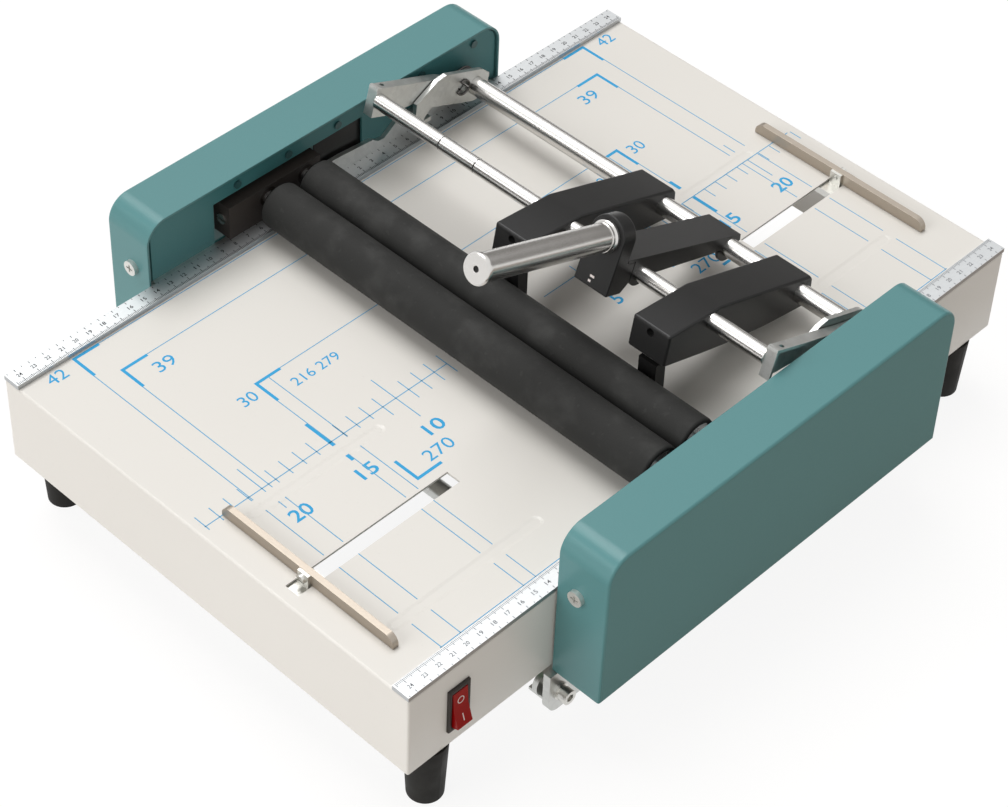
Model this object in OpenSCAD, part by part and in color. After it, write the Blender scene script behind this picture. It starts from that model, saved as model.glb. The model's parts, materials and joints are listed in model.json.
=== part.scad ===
// Table-top booklet maker: two stapler heads on a swinging frame, and a pair of folding rollers.
// Millimetres, +Z up, -Y towards the operator, origin on the ground under the middle of the base.

/* [Base] */
// Width of the base between the outer faces of its side walls
base_w = 322; // [318:1:326]
// Length of the base from front to back
base_l = 493; // [485:1:520]
// Height of the folded base
base_h = 60; // [58:1:64]
// Thickness of the folded sheet
sheet = 1.5; // [1.2:0.1:1.8]
// Height of a rubber foot
foot_h = 42; // [40:1:50]
// Radius of a foot at its top
foot_top_r = 12.5; // [11:0.5:14]
// Radius of a foot at the ground
foot_ground_r = 10.5; // [9:0.5:12]
// Distance of a foot's centre from the side of the base
foot_inset_x = 11.5; // [11:0.5:14]
// Distance of a foot's centre from the end of the base
foot_inset_y = 24.5; // [15:0.5:28]
// Width of a ruler strip
ruler_w = 12; // [10:0.5:12]
// Thickness of a ruler strip
ruler_t = 3; // [2:0.5:3]

/* [Paper stops] */
// Length of a stop bar
stop_l = 131; // [110:1:140]
// Thickness of a stop bar
stop_t = 4; // [3:0.5:6]
// Height of a stop bar
stop_h = 7.5; // [6.5:0.5:10]
// Width of the slot that a stop slides in
stop_slot_w = 10; // [9:0.5:12]
// Middle of the near slot across the table
near_stop_x = 65.4; // [60:0.2:68]
// Distance of the near slot from the front of the base
near_slot_in = 8.5; // [7.5:0.5:10.5]
// Length of the near slot
near_slot_l = 118.5; // [98:0.5:123]
// Middle of the far slot across the table
far_stop_x = 50.5; // [46:0.5:60]
// Distance of the far slot from the rear of the base
far_slot_in = 10.5; // [9.5:0.5:13.5]
// Length of the far slot
far_slot_l = 95; // [76:1:101]
// Distance of the near stop bar's front face from the front of the base
near_stop_in = 18.2; // [17.5:0.1:46.5]
// Distance of the far stop bar's front face from the rear of the base
far_stop_in = 22.5; // [21.5:0.5:66.5]

/* [Rollers] */
// Radius of a rubber roller
roller_r = 14.8; // [14:0.1:14.9]
// Distance of a rubber roller's end from the side of the base
roller_in = 10; // [10:0.5:13]
// Radius of a roller's steel core
core_r = 11.8; // [10:0.1:12.5]
// Radius of a roller's journals
journal_r = 4; // [3.5:0.1:4.5]
// Gap between the two rollers at rest
nip_gap = 0.2; // [0.15:0.05:0.3]
// Place of the nip from front to back
nip_y = -34.4; // [-35:0.1:-34]
// Height of the roller axes above the table
roller_rise = 18.3; // [18.3:0.1:18.8]
// Width of a bearing block
block_w = 14; // [12:0.5:14]
// Length of a bearing block from front to back
block_l = 72; // [70:1:80]
// Height of a bearing block
block_h = 23.6; // [22.5:0.1:28]
// Front face of a bearing block, in front of the nip
block_front = 45.6; // [42:0.1:48]
// Radius of a journal bush
bush_r = 6.5; // [6:0.1:6.8]
// Radius of a pressure screw
pressure_screw_r = 3.5; // [3:0.1:3.8]

/* [Roller drive] */
// Teeth of each roller gear
roller_teeth = 20; // [18:1:22]
// Teeth of the idler gear
idler_teeth = 30; // [28:1:31]
// Teeth of the motor pinion
pinion_teeth = 15; // [14:1:17]
// Width of the gears
gear_w = 8; // [6:0.5:9]
// Direction from the rear roller gear to the idler, below level
idler_dir = -57.5; // [-60:0.5:-55]
// Direction from the idler to the motor pinion, below level
pinion_dir = -31; // [-33:0.5:-29]
// Radius of the motor
motor_r = 24; // [20:0.5:24]
// Length of the motor
motor_l = 76; // [60:1:80]
// Length of the gearbox, along the motor
gearbox_l = 47; // [40:1:50]
// Width of the gearbox from front to back
gearbox_w = 48; // [44:1:50]
// Height of the gearbox
gearbox_h = 46; // [42:1:48]

/* [Fold blade] */
// Thickness of the fold blade
blade_t = 1; // [0.8:0.1:1.2]
// Height of the fold blade
blade_h = 36; // [34:1:38]
// How far the blade rests below the table top
blade_depth = 2; // [2:0.5:4]
// Height of the blade carrier bar
carrier_h = 10; // [8:0.5:11]
// Radius of the two guide posts
post_r = 4; // [3.5:0.1:4.5]
// Pivot of the lift lever, from front to back
lift_pivot_y = -137; // [-137:0.5:-134]
// Pivot of the lift lever, its height
lift_pivot_z = 24; // [22:0.5:26]
// Distance of the lift lever's cross tube from its pivot
lift_tube_reach = 50; // [40:1:54]
// Radius of the lift lever's pivot bolts
lift_bolt_r = 3.2; // [2.8:0.1:3.4]
// Radius of the solenoid plunger
plunger_r = 7; // [6:0.5:8]
// Middle of the solenoid across
solenoid_x = -40; // [-70:1:0]
// Middle of the solenoid from front to back
solenoid_y = -66; // [-68:1:-64]

/* [Side covers] */
// Width of a cover
cover_w = 34.7; // [33:0.1:36]
// Length of a cover
cover_l = 286.6; // [286.6:0.2:288]
// Height of a cover
cover_h = 106.8; // [104:0.2:110]
// Radius of a cover's upper corners
cover_r = 15; // [8:0.5:20]
// Middle of a cover from front to back
cover_y = 3.4; // [3:0.1:4]
// Thickness of the side plates
plate_t = 3; // [2.5:0.1:3]

/* [Stapler frame] */
// Radius of the rear shaft
shaft_r = 6; // [5.5:0.1:6.3]
// Rear shaft, from front to back
shaft_y = 112.5; // [112:0.1:113]
// Rear shaft, its height
shaft_z = 122; // [121.8:0.1:122.3]
// Radius of the front rod
rod_r = 5; // [4.5:0.1:5.5]
// Front rod, from front to back
rod_y = 33; // [32:0.1:34]
// Front rod, its height
rod_z = 151.2; // [150.8:0.1:151.5]
// Distance of an arm's inner face from the side of the base
arm_in = 8.5; // [8.2:0.1:8.7]
// Width of an arm over its flanges
arm_w = 7; // [5:0.5:7]
// Thickness of an arm's sheet
arm_t = 2; // [1.5:0.1:2.4]
// Radius of a torsion spring's wire
spring_wire_r = 0.7; // [0.6:0.05:0.7]

/* [Stapler heads] */
// Width of a head
head_w = 27; // [26:0.5:28]
// Wall of a head
head_wall = 3; // [2.5:0.1:3.2]
// Middle of the left head
left_head_x = -6.5; // [-20:0.5:4]
// Middle of the right head
right_head_x = 99; // [80:0.5:108]
// Width of a magazine
magazine_w = 16; // [15:0.5:17]
// Width of a magazine's nose
nose_w = 13; // [12.5:0.5:14]

/* [Handle] */
// Middle of the handle across
handle_x = 46; // [44:0.5:50]
// Foot of the handle bar, from front to back
handle_y = 17; // [16.5:0.1:17.5]
// Foot of the handle bar, its height
handle_z = 180.2; // [179.8:0.1:180.6]
// Angle of the handle bar above level
handle_tilt = 21; // [20:0.5:22]
// Length of the handle bar
handle_l = 108; // [90:1:120]
// Radius of the handle bar
handle_r = 8.25; // [7:0.25:9]
// Width of the bracket and of the channel behind it
bracket_w = 24.6; // [23:0.2:26]

/* [Switch and inlet] */
// Width of the switch bezel
bezel_w = 15.5; // [14:0.5:18]
// Height of the switch bezel
bezel_h = 32; // [26:0.5:34]
// Distance of the switch's middle from the front of the base
switch_in = 35.5; // [26.5:1:66.5]
// Middle of the switch, its height
switch_z = 70.5; // [66:0.5:76]
// Width of the power inlet
inlet_w = 30; // [26:0.5:32]
// Height of the power inlet
inlet_h = 22; // [20:0.5:24]
// Distance of the power inlet's middle from the rear of the base
inlet_in = 40.5; // [34.5:1:66.5]
// Middle of the power inlet, its height
inlet_z = 72; // [66:0.5:76]

/* [Hidden] */
// Radial clearance of a running fit
running = 0.06;
// Clearance between pieces that pass each other
pass = 0.3;
table_z = foot_h + base_h;
lift_pivot = [lift_pivot_y, lift_pivot_z];
shaft_at = [shaft_y, shaft_z];
rod_at = [rod_y, rod_z];
handle_at = [handle_y, handle_z];
side_x = base_w / 2;
arm_x = side_x - arm_in;
end_y = base_l / 2;
wall_x = side_x - sheet;
under_z = table_z - sheet;
plate_x = side_x + plate_t;
ruler_z = table_z + ruler_t;
near_slot_y0 = near_slot_in - end_y;
near_slot_y1 = near_slot_y0 + near_slot_l;
far_slot_y1 = end_y - far_slot_in;
far_slot_y0 = far_slot_y1 - far_slot_l;
near_stop_y = near_stop_in - end_y;
far_stop_y = end_y - far_stop_in;
switch_y = switch_in - end_y;
inlet_y = end_y - inlet_in;

cover_x0 = side_x + 1.3;
cover_x1 = cover_x0 + cover_w;
cover_y0 = cover_y - cover_l / 2;
cover_y1 = cover_y + cover_l / 2;
cover_z0 = foot_h - 1.4;
cover_z1 = cover_z0 + cover_h;
panel_gap = 1;
screw_x = side_x + 15.5;
front_screw_z = ruler_z + 5.3;
rear_screw_z = ruler_z - 13;
cover_screw_r = 2.5;
tab_t = 2;
tab_x1 = screw_x + 5.5;

roller_l = base_w - 2 * roller_in;
roller_z = table_z + roller_rise;
roller_pitch = 2 * roller_r + nip_gap;
front_y = nip_y - roller_pitch / 2;
rear_y = nip_y + roller_pitch / 2;
roller_ys = [front_y, rear_y];
block_x0 = side_x - 1;
block_x1 = block_x0 + block_w;
block_y0 = nip_y - block_front;
block_y1 = block_y0 + block_l;
block_z1 = ruler_z + block_h;
pressure_x = (block_x0 + block_x1) / 2;
pressure_z = roller_z - 3.3;
pressure_proud = 0.8;

gear_m = roller_pitch / roller_teeth;
gear_x0 = block_x1 + 3.5;
gear_x1 = gear_x0 + gear_w;
idler_d = gear_m * (roller_teeth + idler_teeth) / 2;
idler_y = rear_y + idler_d * cos(idler_dir);
idler_z = roller_z + idler_d * sin(idler_dir);
pinion_d = gear_m * (idler_teeth + pinion_teeth) / 2;
pinion_y = idler_y + pinion_d * cos(pinion_dir);
pinion_z = idler_z + pinion_d * sin(pinion_dir);
// Turn of a gear's teeth that puts a gap where the other gear has a tooth
function in_mesh(turn, teeth, next_teeth, dir) =
    dir + 180 + ((dir - turn) % (360 / teeth)) * teeth / next_teeth + 180 / next_teeth;
rear_turn = 0;
front_turn = in_mesh(rear_turn, roller_teeth, roller_teeth, 180);
idler_turn = in_mesh(rear_turn, roller_teeth, idler_teeth, idler_dir);
pinion_turn = in_mesh(idler_turn, idler_teeth, pinion_teeth, pinion_dir);
stud_r = 5;
drive_shaft_r = 4;
bracket_x = side_x - 11;
bracket_t = 3;
gearbox_x1 = bracket_x - 3;
gearbox_x0 = gearbox_x1 - gearbox_l;

blade_x = roller_l / 2 - 3;
blade_z1 = table_z - blade_depth;
blade_z0 = blade_z1 - blade_h;
carrier_z0 = blade_z0 - 4;
carrier_x = blade_x + 2;
carrier_half = 5.5;
carrier_end = 4;
pin_r = 3;
pin_z = carrier_z0 - 5;
post_x = 110;
post_y = nip_y + 10.4;
lever_x0 = carrier_x + 4;
lever_t = 3.5;
lever_angle = atan2(pin_z - lift_pivot[1], nip_y - lift_pivot[0]);
lever_reach = norm([nip_y - lift_pivot[0], pin_z - lift_pivot[1]]);
tongue_z = carrier_z0 - 14;
tongue_t = 4;
lug_x1 = side_x + 5;

anvil_y = 0;
anvil_w = 12;
anvil_x = side_x - ruler_w - 0.5;
clinch_pitch = 12;

hub_x1 = arm_x - 0.5;
hub_t = 3;
hub_x0 = hub_x1 - hub_t;
ring_x0 = arm_x + arm_t + 0.5;
ring_t = 1;
// Hole of the hub plate that the spring's hook sits in, and where its wire comes through
hook_at = shaft_at + [-11.3, 4.8];
hook_hole_r = 4.2;
hook_r = 5;
hook_dir = 200;
hook_wire_at = hook_at + 2.6 * [cos(hook_dir), sin(hook_dir)];
// End of the spring's leg below the arm's flange, clear of it when the frame is down
leg_at = shaft_at + [-22.5, 9.9];
nose_y = -3.5;
nose_z = table_z + 9;
nose_l = 8;
driver_y = nose_y + 5.4;
driver_t = 0.8;
// Magazine hinge in a head: from front to back, and height
hinge_at = [shaft_y - 15.5, shaft_z - 1];
hinge_r = 3;
// Underside of a head's roof at its front, and the drop of the roof towards the front rod
roof_front = [rod_y - 32.5, rod_z + 6.8];
roof_rod = [rod_y + 7.2, rod_z + 2.6];
function roof_z(y) =
    roof_front[1] + (y - roof_front[0]) * (roof_rod[1] - roof_front[1]) / (roof_rod[0] - roof_front[0]);

gusset = 34;
gusset_t = 2;
foot_x = side_x - foot_inset_x;
foot_y = base_l / 2 - foot_inset_y;
foot_screw_r = 2.5;
foot_recess = 20;
groove_pitch = 54;
board_w = 60;
board_l = 52;
board_t = 1.6;
board_side = 16;
board_drop = 8;

$fn = 64;

// A block between two corners
module block_between(a, b) {
    translate(a) cube([b[0] - a[0], b[1] - a[1], b[2] - a[2]]);
}

// A side view, drawn as [front to back, height], made solid between two places across
module across(x0, x1) {
    translate([x0, 0, 0]) rotate([90, 0, 90]) linear_extrude(x1 - x0) children();
}

// A round bar across the machine
module bar_x(x0, x1, y, z, r) {
    translate([x0, y, z]) rotate([0, 90, 0]) cylinder(h = x1 - x0, r = r);
}

// A round bar from front to back
module bar_y(y0, y1, x, z, r) {
    translate([x, y0, z]) rotate([-90, 0, 0]) cylinder(h = y1 - y0, r = r);
}

// A round bar standing up
module bar_z(z0, z1, x, y, r) {
    translate([x, y, z0]) cylinder(h = z1 - z0, r = r);
}

module left() {
    mirror([1, 0, 0]) children();
}

module both_sides() {
    children();
    left() children();
}

// Gear outline with straight flanks and a little backlash
module gear_outline(teeth, turn) {
    pitch_r = gear_m * teeth / 2;
    half = 0.43 * 180 / teeth;
    profile = [[pitch_r - 1.2 * gear_m, 1.55], [pitch_r, 1], [pitch_r + 0.85 * gear_m, 0.42]];
    polygon([
        for (i = [0 : teeth - 1], s = [-1, 1], k = [0 : 2])
            let (p = profile[s < 0 ? k : 2 - k], a = turn + i * 360 / teeth + s * half * p[1])
                [p[0] * cos(a), p[0] * sin(a)]
    ]);
}

module gear(x0, x1, y, z, teeth, turn, bore_r) {
    across(x0, x1) translate([y, z]) difference() {
        gear_outline(teeth, turn);
        circle(bore_r);
    }
}

// Folded base, open underneath, with a gusset over each foot
module base_shell() {
    color([0.9, 0.88, 0.85]) difference() {
        union() {
            difference() {
                block_between([-side_x, -base_l / 2, foot_h], [side_x, base_l / 2, table_z]);
                block_between([-wall_x, -base_l / 2 + sheet, foot_h - 1],
                              [wall_x, base_l / 2 - sheet, under_z]);
            }
            for (sx = [-1, 1], sy = [-1, 1])
                translate([sx * (wall_x - gusset / 2), sy * (base_l / 2 - sheet - gusset / 2), foot_h])
                    translate([-gusset / 2, -gusset / 2, 0]) cube([gusset, gusset, gusset_t]);
        }
        for (sx = [-1, 1], sy = [-1, 1])
            bar_z(foot_h - 1, foot_h + gusset_t + 1, sx * foot_x, sy * foot_y, foot_screw_r);
        stop_slot(near_stop_x, near_slot_y0, near_slot_y1);
        stop_slot(far_stop_x, far_slot_y0, far_slot_y1);
        block_between([-blade_x - 3, nip_y - 3, under_z - 1], [blade_x + 3, nip_y + 3, table_z + 1]);
        block_between([-anvil_x, anvil_y - anvil_w / 2, under_z - 1],
                      [anvil_x, anvil_y + anvil_w / 2, table_z + 1]);
        table_grooves();
        block_between([wall_x - 1, switch_y - bezel_w / 2 + 1, switch_z - bezel_h / 2 + 1],
                      [side_x + 1, switch_y + bezel_w / 2 - 1, switch_z + bezel_h / 2 - 1]);
        block_between([-side_x - 1, inlet_y - inlet_w / 2 + 2, inlet_z - inlet_h / 2 + 2],
                      [-wall_x + 1, inlet_y + inlet_w / 2 - 2, inlet_z + inlet_h / 2 - 2]);
        drive_holes(wall_x - 1, side_x + 1);
    }
}

// Slot through the table with square ends
module stop_slot(x, y0, y1) {
    half = stop_slot_w / 2;
    block_between([x - half, y0, under_z - 1], [x + half, y1, table_z + 1]);
}

// Shallow pressed grooves on both sides of the slots
module table_grooves() {
    depth = 0.5;
    r = 2;
    near_y0 = near_slot_y0 + 2 * stop_slot_w;
    far_y0 = far_slot_y0 + 3;
    far_y1 = far_slot_y1 - 3 * stop_slot_w;
    for (groove = [
        [near_stop_x - groove_pitch, near_y0, near_slot_y1 - 2.5],
        [near_stop_x + groove_pitch, near_y0, near_slot_y1 + 10.5],
        [far_stop_x - groove_pitch, far_y0, far_y1], [far_stop_x + groove_pitch, far_y0, far_y1]
    ])
        translate([groove[0], 0, table_z - depth]) linear_extrude(1) {
            translate([-r, groove[1] + r]) square([2 * r, groove[2] - groove[1] - 2 * r]);
            for (y = [groove[1] + r, groove[2] - r])
                translate([0, y]) circle(r);
        }
}

// Clearance holes for the pinion shaft and the idler stud
module drive_holes(x0, x1) {
    bar_x(x0, x1, pinion_y, pinion_z, drive_shaft_r + 2);
    bar_x(x0, x1, idler_y, idler_z, stud_r + pass);
}

module rulers() {
    color([0.8, 0.8, 0.8]) both_sides()
        block_between([side_x - ruler_w, -base_l / 2, table_z], [side_x, base_l / 2, ruler_z]);
}

module feet() {
    color([0.13, 0.13, 0.13]) for (sx = [-1, 1], sy = [-1, 1])
        translate([sx * foot_x, sy * foot_y, 0]) difference() {
            cylinder(h = foot_h, r1 = foot_ground_r, r2 = foot_top_r);
            translate([0, 0, -1]) cylinder(h = foot_recess + 1, r = 5.5);
            cylinder(h = foot_h + 1, r = foot_screw_r);
        }
}

module foot_screws() {
    color([0.7, 0.7, 0.7]) for (sx = [-1, 1], sy = [-1, 1])
        translate([sx * foot_x, sy * foot_y, 0]) {
            translate([0, 0, foot_recess - 3.5]) cylinder(h = 3.5, r = 4.8);
            translate([0, 0, foot_recess - 1])
                cylinder(h = foot_h - foot_recess + gusset_t + 6, r = foot_screw_r);
            translate([0, 0, foot_h + gusset_t]) cylinder(h = 4, r = 4.6, $fn = 6);
        }
}

// Side plate outside the base wall: it carries the bearing block, the hub plate and the lift bolt
module side_plate() {
    tab_y0 = cover_y0 + sheet;
    tab_y1 = cover_y1 - sheet;
    color([0.72, 0.72, 0.7]) difference() {
        union() {
            across(side_x, plate_x) polygon([
                [tab_y0 + tab_t, foot_h + 4], [tab_y0 + tab_t, ruler_z],
                [block_y1, ruler_z], [block_y1, ruler_z + 12], [9.6, ruler_z + 11.6],
                [36.4, ruler_z + 9.2], [41, ruler_z + 5.8], [46, ruler_z + 5.3], [56, ruler_z + 12.2],
                [76, ruler_z + 14.8], [96, ruler_z + 13], [116, ruler_z + 7],
                [122, ruler_z - 5], [tab_y1 - tab_t, ruler_z - 5], [tab_y1 - tab_t, foot_h + 12],
                [118, foot_h + 4], [lift_pivot[0] + 37, foot_h + 4], [lift_pivot[0] + 33, foot_h - 4],
                [lift_pivot[0] + 4, foot_h - 4], [lift_pivot[0] + 4, foot_h + 4]
            ]);
            lift_lug();
            block_between([side_x, tab_y0, ruler_z - 15], [tab_x1, tab_y0 + tab_t, ruler_z - 1]);
            block_between([plate_x + 2.5, tab_y0, ruler_z - 2], [tab_x1, tab_y0 + tab_t, front_screw_z + 6]);
            block_between([side_x, tab_y1 - tab_t, ruler_z - 35], [tab_x1, tab_y1, ruler_z - 5]);
        }
        drive_holes(side_x - 1, plate_x + 1);
        bar_x(side_x - 1, lug_x1 + 1, lift_pivot[0], lift_pivot[1], lift_bolt_r);
        bar_y(tab_y0 - 1, tab_y0 + tab_t + 1, screw_x, front_screw_z, cover_screw_r);
        bar_y(tab_y1 - tab_t - 1, tab_y1 + 1, screw_x, rear_screw_z, cover_screw_r);
    }
}

// Thick lug under the base with an inward lip, drilled for the lift bolt
module lift_lug() {
    y = lift_pivot[0];
    z = lift_pivot[1];
    across(side_x, lug_x1) {
        polygon([[y - 8, foot_h - 2], [y - 8, z - 7], [y, z - 15], [y + 22, z - 15], [y + 33, foot_h - 2]]);
        translate([y, z - 7]) circle(8);
    }
    block_between([side_x - 15.5, y - 2, z - 15], [side_x + 1, y + 22, z - 13]);
}

// Hub plate inboard of an arm: the rear shaft turns in it, and its foot is bent out on to the side plate
module hub_plate() {
    foot_z = ruler_z + 11;
    color([0.7, 0.7, 0.7]) difference() {
        union() {
            across(hub_x0, hub_x1) {
                polygon([
                    [60, foot_z], [61.8, foot_z + 18], [67.2, foot_z + 20.8], [72.7, foot_z + 23.6],
                    [79.4, foot_z + 26.8], [87, foot_z + 27.5], shaft_at + [4.2, 10.2], shaft_at,
                    shaft_at + [-4.4, -10.1], [74.2, foot_z + 9.7], [68, foot_z + 4.5], [68, foot_z]
                ]);
                translate(shaft_at) circle(11);
            }
            block_between([hub_x0, 60, foot_z], [side_x, 74, foot_z + 3]);
        }
        bar_x(hub_x0 - 1, hub_x1 + 1, shaft_y, shaft_z, shaft_r + running);
        bar_x(hub_x0 - 1, hub_x1 + 1, hook_at[0], hook_at[1], hook_hole_r);
    }
}

// Outline of a cover with its two upper corners rounded, drawn in by a margin
module cover_outline(margin) {
    r = cover_r - margin;
    y0 = cover_y0 + margin;
    y1 = cover_y1 - margin;
    z1 = cover_z1 - margin;
    translate([y0, cover_z0]) square([y1 - y0, z1 - r - cover_z0]);
    translate([y0 + r, z1 - r - 1]) square([y1 - y0 - 2 * r, r + 1]);
    for (y = [y0 + r, y1 - r])
        translate([y, z1 - r]) circle(r);
}

module cover() {
    color([0.25, 0.48, 0.48]) difference() {
        across(cover_x0, cover_x1) cover_outline(0);
        across(cover_x0 - 1, cover_x1 - sheet) translate([0, -sheet]) cover_outline_inner();
        bar_y(cover_y0 - 1, cover_y0 + sheet + 1, screw_x, front_screw_z, cover_screw_r + 0.1);
        bar_y(cover_y1 - sheet - 1, cover_y1 + 1, screw_x, rear_screw_z, cover_screw_r + 0.1);
    }
}

// Inside of a cover, which runs on below its open bottom edge
module cover_outline_inner() {
    translate([0, sheet]) cover_outline(sheet);
    translate([cover_y0 + sheet, cover_z0 - 2]) square([cover_l - 2 * sheet, 10]);
}

// Panel that closes a cover above the table, with a window for the bearing block
module inner_panel() {
    color([0.2, 0.38, 0.39]) across(plate_x, plate_x + sheet) difference() {
        intersection() {
            cover_outline(sheet + panel_gap);
            translate([cover_y0 + 4, table_z + 1]) square([cover_l - 4 - sheet - panel_gap, cover_h]);
        }
        translate([block_y0 - 8.6, ruler_z]) square([118.6, block_h + 5.6]);
        for (y = panel_rivets)
            translate([y, cover_z1 - 8.2]) circle(1.6);
    }
}
panel_rivets = [-69.8, -29.7, 10, 80, 125];

// Screws of the covers and rivets of the inner panels
module cover_screws() {
    color([0.78, 0.78, 0.78]) both_sides() {
        cover_screw(front_screw_z, cover_y0, 1);
        cover_screw(rear_screw_z, cover_y1, -1);
        for (y = panel_rivets) {
            bar_x(plate_x - 1.2, plate_x, y, cover_z1 - 8.2, 2.6);
            bar_x(plate_x - 0.5, plate_x + sheet + 1, y, cover_z1 - 8.2, 1.6);
        }
    }
}

module cover_screw(z, face_y, inward) {
    translate([screw_x, face_y, z]) rotate([-90 * inward, 0, 0]) {
        difference() {
            translate([0, 0, -2.8]) cylinder(h = 2.8, r = 4.8);
            for (a = [0, 90])
                rotate(a) translate([-2.6, -0.6, -3]) cube([5.2, 1.2, 1.8]);
        }
        cylinder(h = sheet + tab_t + 1.5, r = cover_screw_r);
    }
}

module roller_block() {
    color([0.12, 0.12, 0.12]) difference() {
        block_between([block_x0, block_y0, ruler_z], [block_x1, block_y1, block_z1]);
        for (y = roller_ys)
            bar_x(block_x0 - 1, block_x1 + 1, y, roller_z, bush_r);
        bar_y(block_y0 - 1, front_y - bush_r + 1.5, pressure_x, pressure_z, pressure_screw_r + running);
    }
}

module roller_bushes() {
    color([0.72, 0.6, 0.4]) both_sides() for (y = roller_ys)
        difference() {
            bar_x(block_x0, block_x1, y, roller_z, bush_r);
            bar_x(block_x0 - 1, block_x1 + 1, y, roller_z, journal_r + running);
        }
}

// Slotted screw that presses on the front journal's bush
module pressure_screw() {
    color([0.6, 0.6, 0.58]) difference() {
        bar_y(block_y0 - pressure_proud, front_y - bush_r - pass, pressure_x, pressure_z, pressure_screw_r);
        block_between([pressure_x - 4, block_y0 - 2, pressure_z - 0.5],
                      [pressure_x + 4, block_y0 + 0.6, pressure_z + 0.5]);
    }
}

// Shaft that turns in the hub plates and carries the arms, the channel and the heads
module rear_shaft() {
    color([0.8, 0.8, 0.8]) bar_x(-ring_x0 - 3, ring_x0 + 3, shaft_y, shaft_z, shaft_r);
}

module shaft_rings() {
    color([0.2, 0.2, 0.2]) both_sides() difference() {
        bar_x(ring_x0, ring_x0 + ring_t, shaft_y, shaft_z, shaft_r + 2);
        bar_x(ring_x0 - 1, ring_x0 + 2, shaft_y, shaft_z, shaft_r);
    }
}

// Turns a vector the way that takes direction a to direction b
function turned(v, a, b) =
    let (c = cross(a, b), k = a * b) v * k + cross(c, v) + c * (c * v) / (1 + k);

// Directions square to a wire at each of its points, carried along it without twist
function carried(ways, i, u) =
    i == len(ways) - 1 ? [u] : concat([u], carried(ways, i + 1, turned(u, ways[i], ways[i + 1])));

// Sweeps a round wire of a few sides along points in space
module wire(points, r, sides) {
    n = len(points);
    ways = [
        for (i = [0 : n - 1])
            let (d = points[min(i + 1, n - 1)] - points[max(i - 1, 0)]) d / norm(d)
    ];
    first = cross(ways[0], [0, 0, 1]);
    across_wire = carried(ways, 0, first / norm(first));
    rings = [
        for (i = [0 : n - 1])
            let (u = across_wire[i], v = cross(ways[i], u))
            for (k = [0 : sides - 1])
                points[i] + r * (cos(k * 360 / sides) * u + sin(k * 360 / sides) * v)
    ];
    polyhedron(
        points = rings,
        faces = concat(
            [for (i = [0 : n - 2], k = [0 : sides - 1])
                [(i + 1) * sides + k, i * sides + (k + 1) % sides, i * sides + k]],
            [for (i = [0 : n - 2], k = [0 : sides - 1])
                [(i + 1) * sides + k, (i + 1) * sides + (k + 1) % sides, i * sides + (k + 1) % sides]],
            [[for (k = [0 : sides - 1]) k]],
            [[for (k = [sides - 1 : -1 : 0]) (n - 1) * sides + k]]
        ),
        convexity = 6
    );
}

// Torsion spring round the shaft outside an arm: its hook lies round a hole in the hub plate, its other leg
// points forwards below the arm's flange
module torsion_spring() {
    r = shaft_r + spring_wire_r + 0.6;
    steps = 8;
    pitch = 2 * spring_wire_r + 0.6;
    coil_x = ring_x0 + ring_t + pass + spring_wire_r;
    hook_x = hub_x0 - spring_wire_r;
    come = hook_wire_at - shaft_at;
    start = atan2(come[1], come[0]) + 360 * (come[1] < 0 ? 1 : 0) + acos(r / norm(come));
    last = round((810 - start) * steps / 360);
    step = (810 - start) / last;
    function coil(i) = [
        coil_x + pitch * i / steps,
        shaft_y + r * cos(start + i * step),
        shaft_z + r * sin(start + i * step)
    ];
    function hook(a) = [hook_x, hook_at[0] + hook_r * cos(a), hook_at[1] + hook_r * sin(a)];
    points = concat(
        [[hook_x - 5, hook(110)[1] + 1, hook(110)[2] - 1], hook(110)],
        [for (i = [1 : 5]) hook(110 - i * 45)],
        [hook(hook_dir - 360)],
        [for (x = [hook_x, coil_x - pitch / steps]) [x, hook_wire_at[0], hook_wire_at[1]]],
        [for (i = [0 : last]) coil(i)],
        [[coil_x, leg_at[0], leg_at[1]]]
    );
    n = len(points);
    gaps = [for (i = [0 : n - 1], j = [i + 5 : 1 : n - 1]) norm(points[i] - points[j])];
    echo(spring_least_gap = min(gaps) - 2 * spring_wire_r);
    wire(points, spring_wire_r, 6);
}

module torsion_springs() {
    color([0.12, 0.12, 0.12]) both_sides() torsion_spring();
}

// Steel bar let into the table, with a row of clinching grooves
module anvil_bar() {
    color([0.6, 0.6, 0.6]) difference() {
        union() {
            block_between([-anvil_x + pass, anvil_y - anvil_w / 2 + pass, under_z - 0.1],
                          [anvil_x - pass, anvil_y + anvil_w / 2 - pass, table_z + 0.2]);
            block_between([-anvil_x - 2, anvil_y - anvil_w / 2 - 4, under_z - 4],
                          [anvil_x + 2, anvil_y + anvil_w / 2 + 4, under_z]);
        }
        for (x = [-132 : clinch_pitch : 132])
            block_between([x - 4.5, anvil_y - 1, table_z - 0.6], [x + 4.5, anvil_y + 1, table_z + 1]);
    }
}

module gear_motor() {
    color([0.3, 0.3, 0.32]) difference() {
        union() {
            block_between([gearbox_x0, pinion_y - gearbox_w / 2, pinion_z - gearbox_h / 2],
                          [gearbox_x1, pinion_y + gearbox_w / 2, pinion_z + gearbox_h / 2]);
            bar_x(gearbox_x1 - 1, bracket_x, pinion_y, pinion_z, 11);
            bar_x(gearbox_x0 - motor_l, gearbox_x0 + 1, pinion_y, pinion_z, motor_r);
            bar_x(gearbox_x0 - motor_l - 4, gearbox_x0 - motor_l + 1, pinion_y, pinion_z, motor_r - 4);
        }
        bar_x(gearbox_x1 - 7, bracket_x + 1, pinion_y, pinion_z, drive_shaft_r + running);
    }
}

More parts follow.
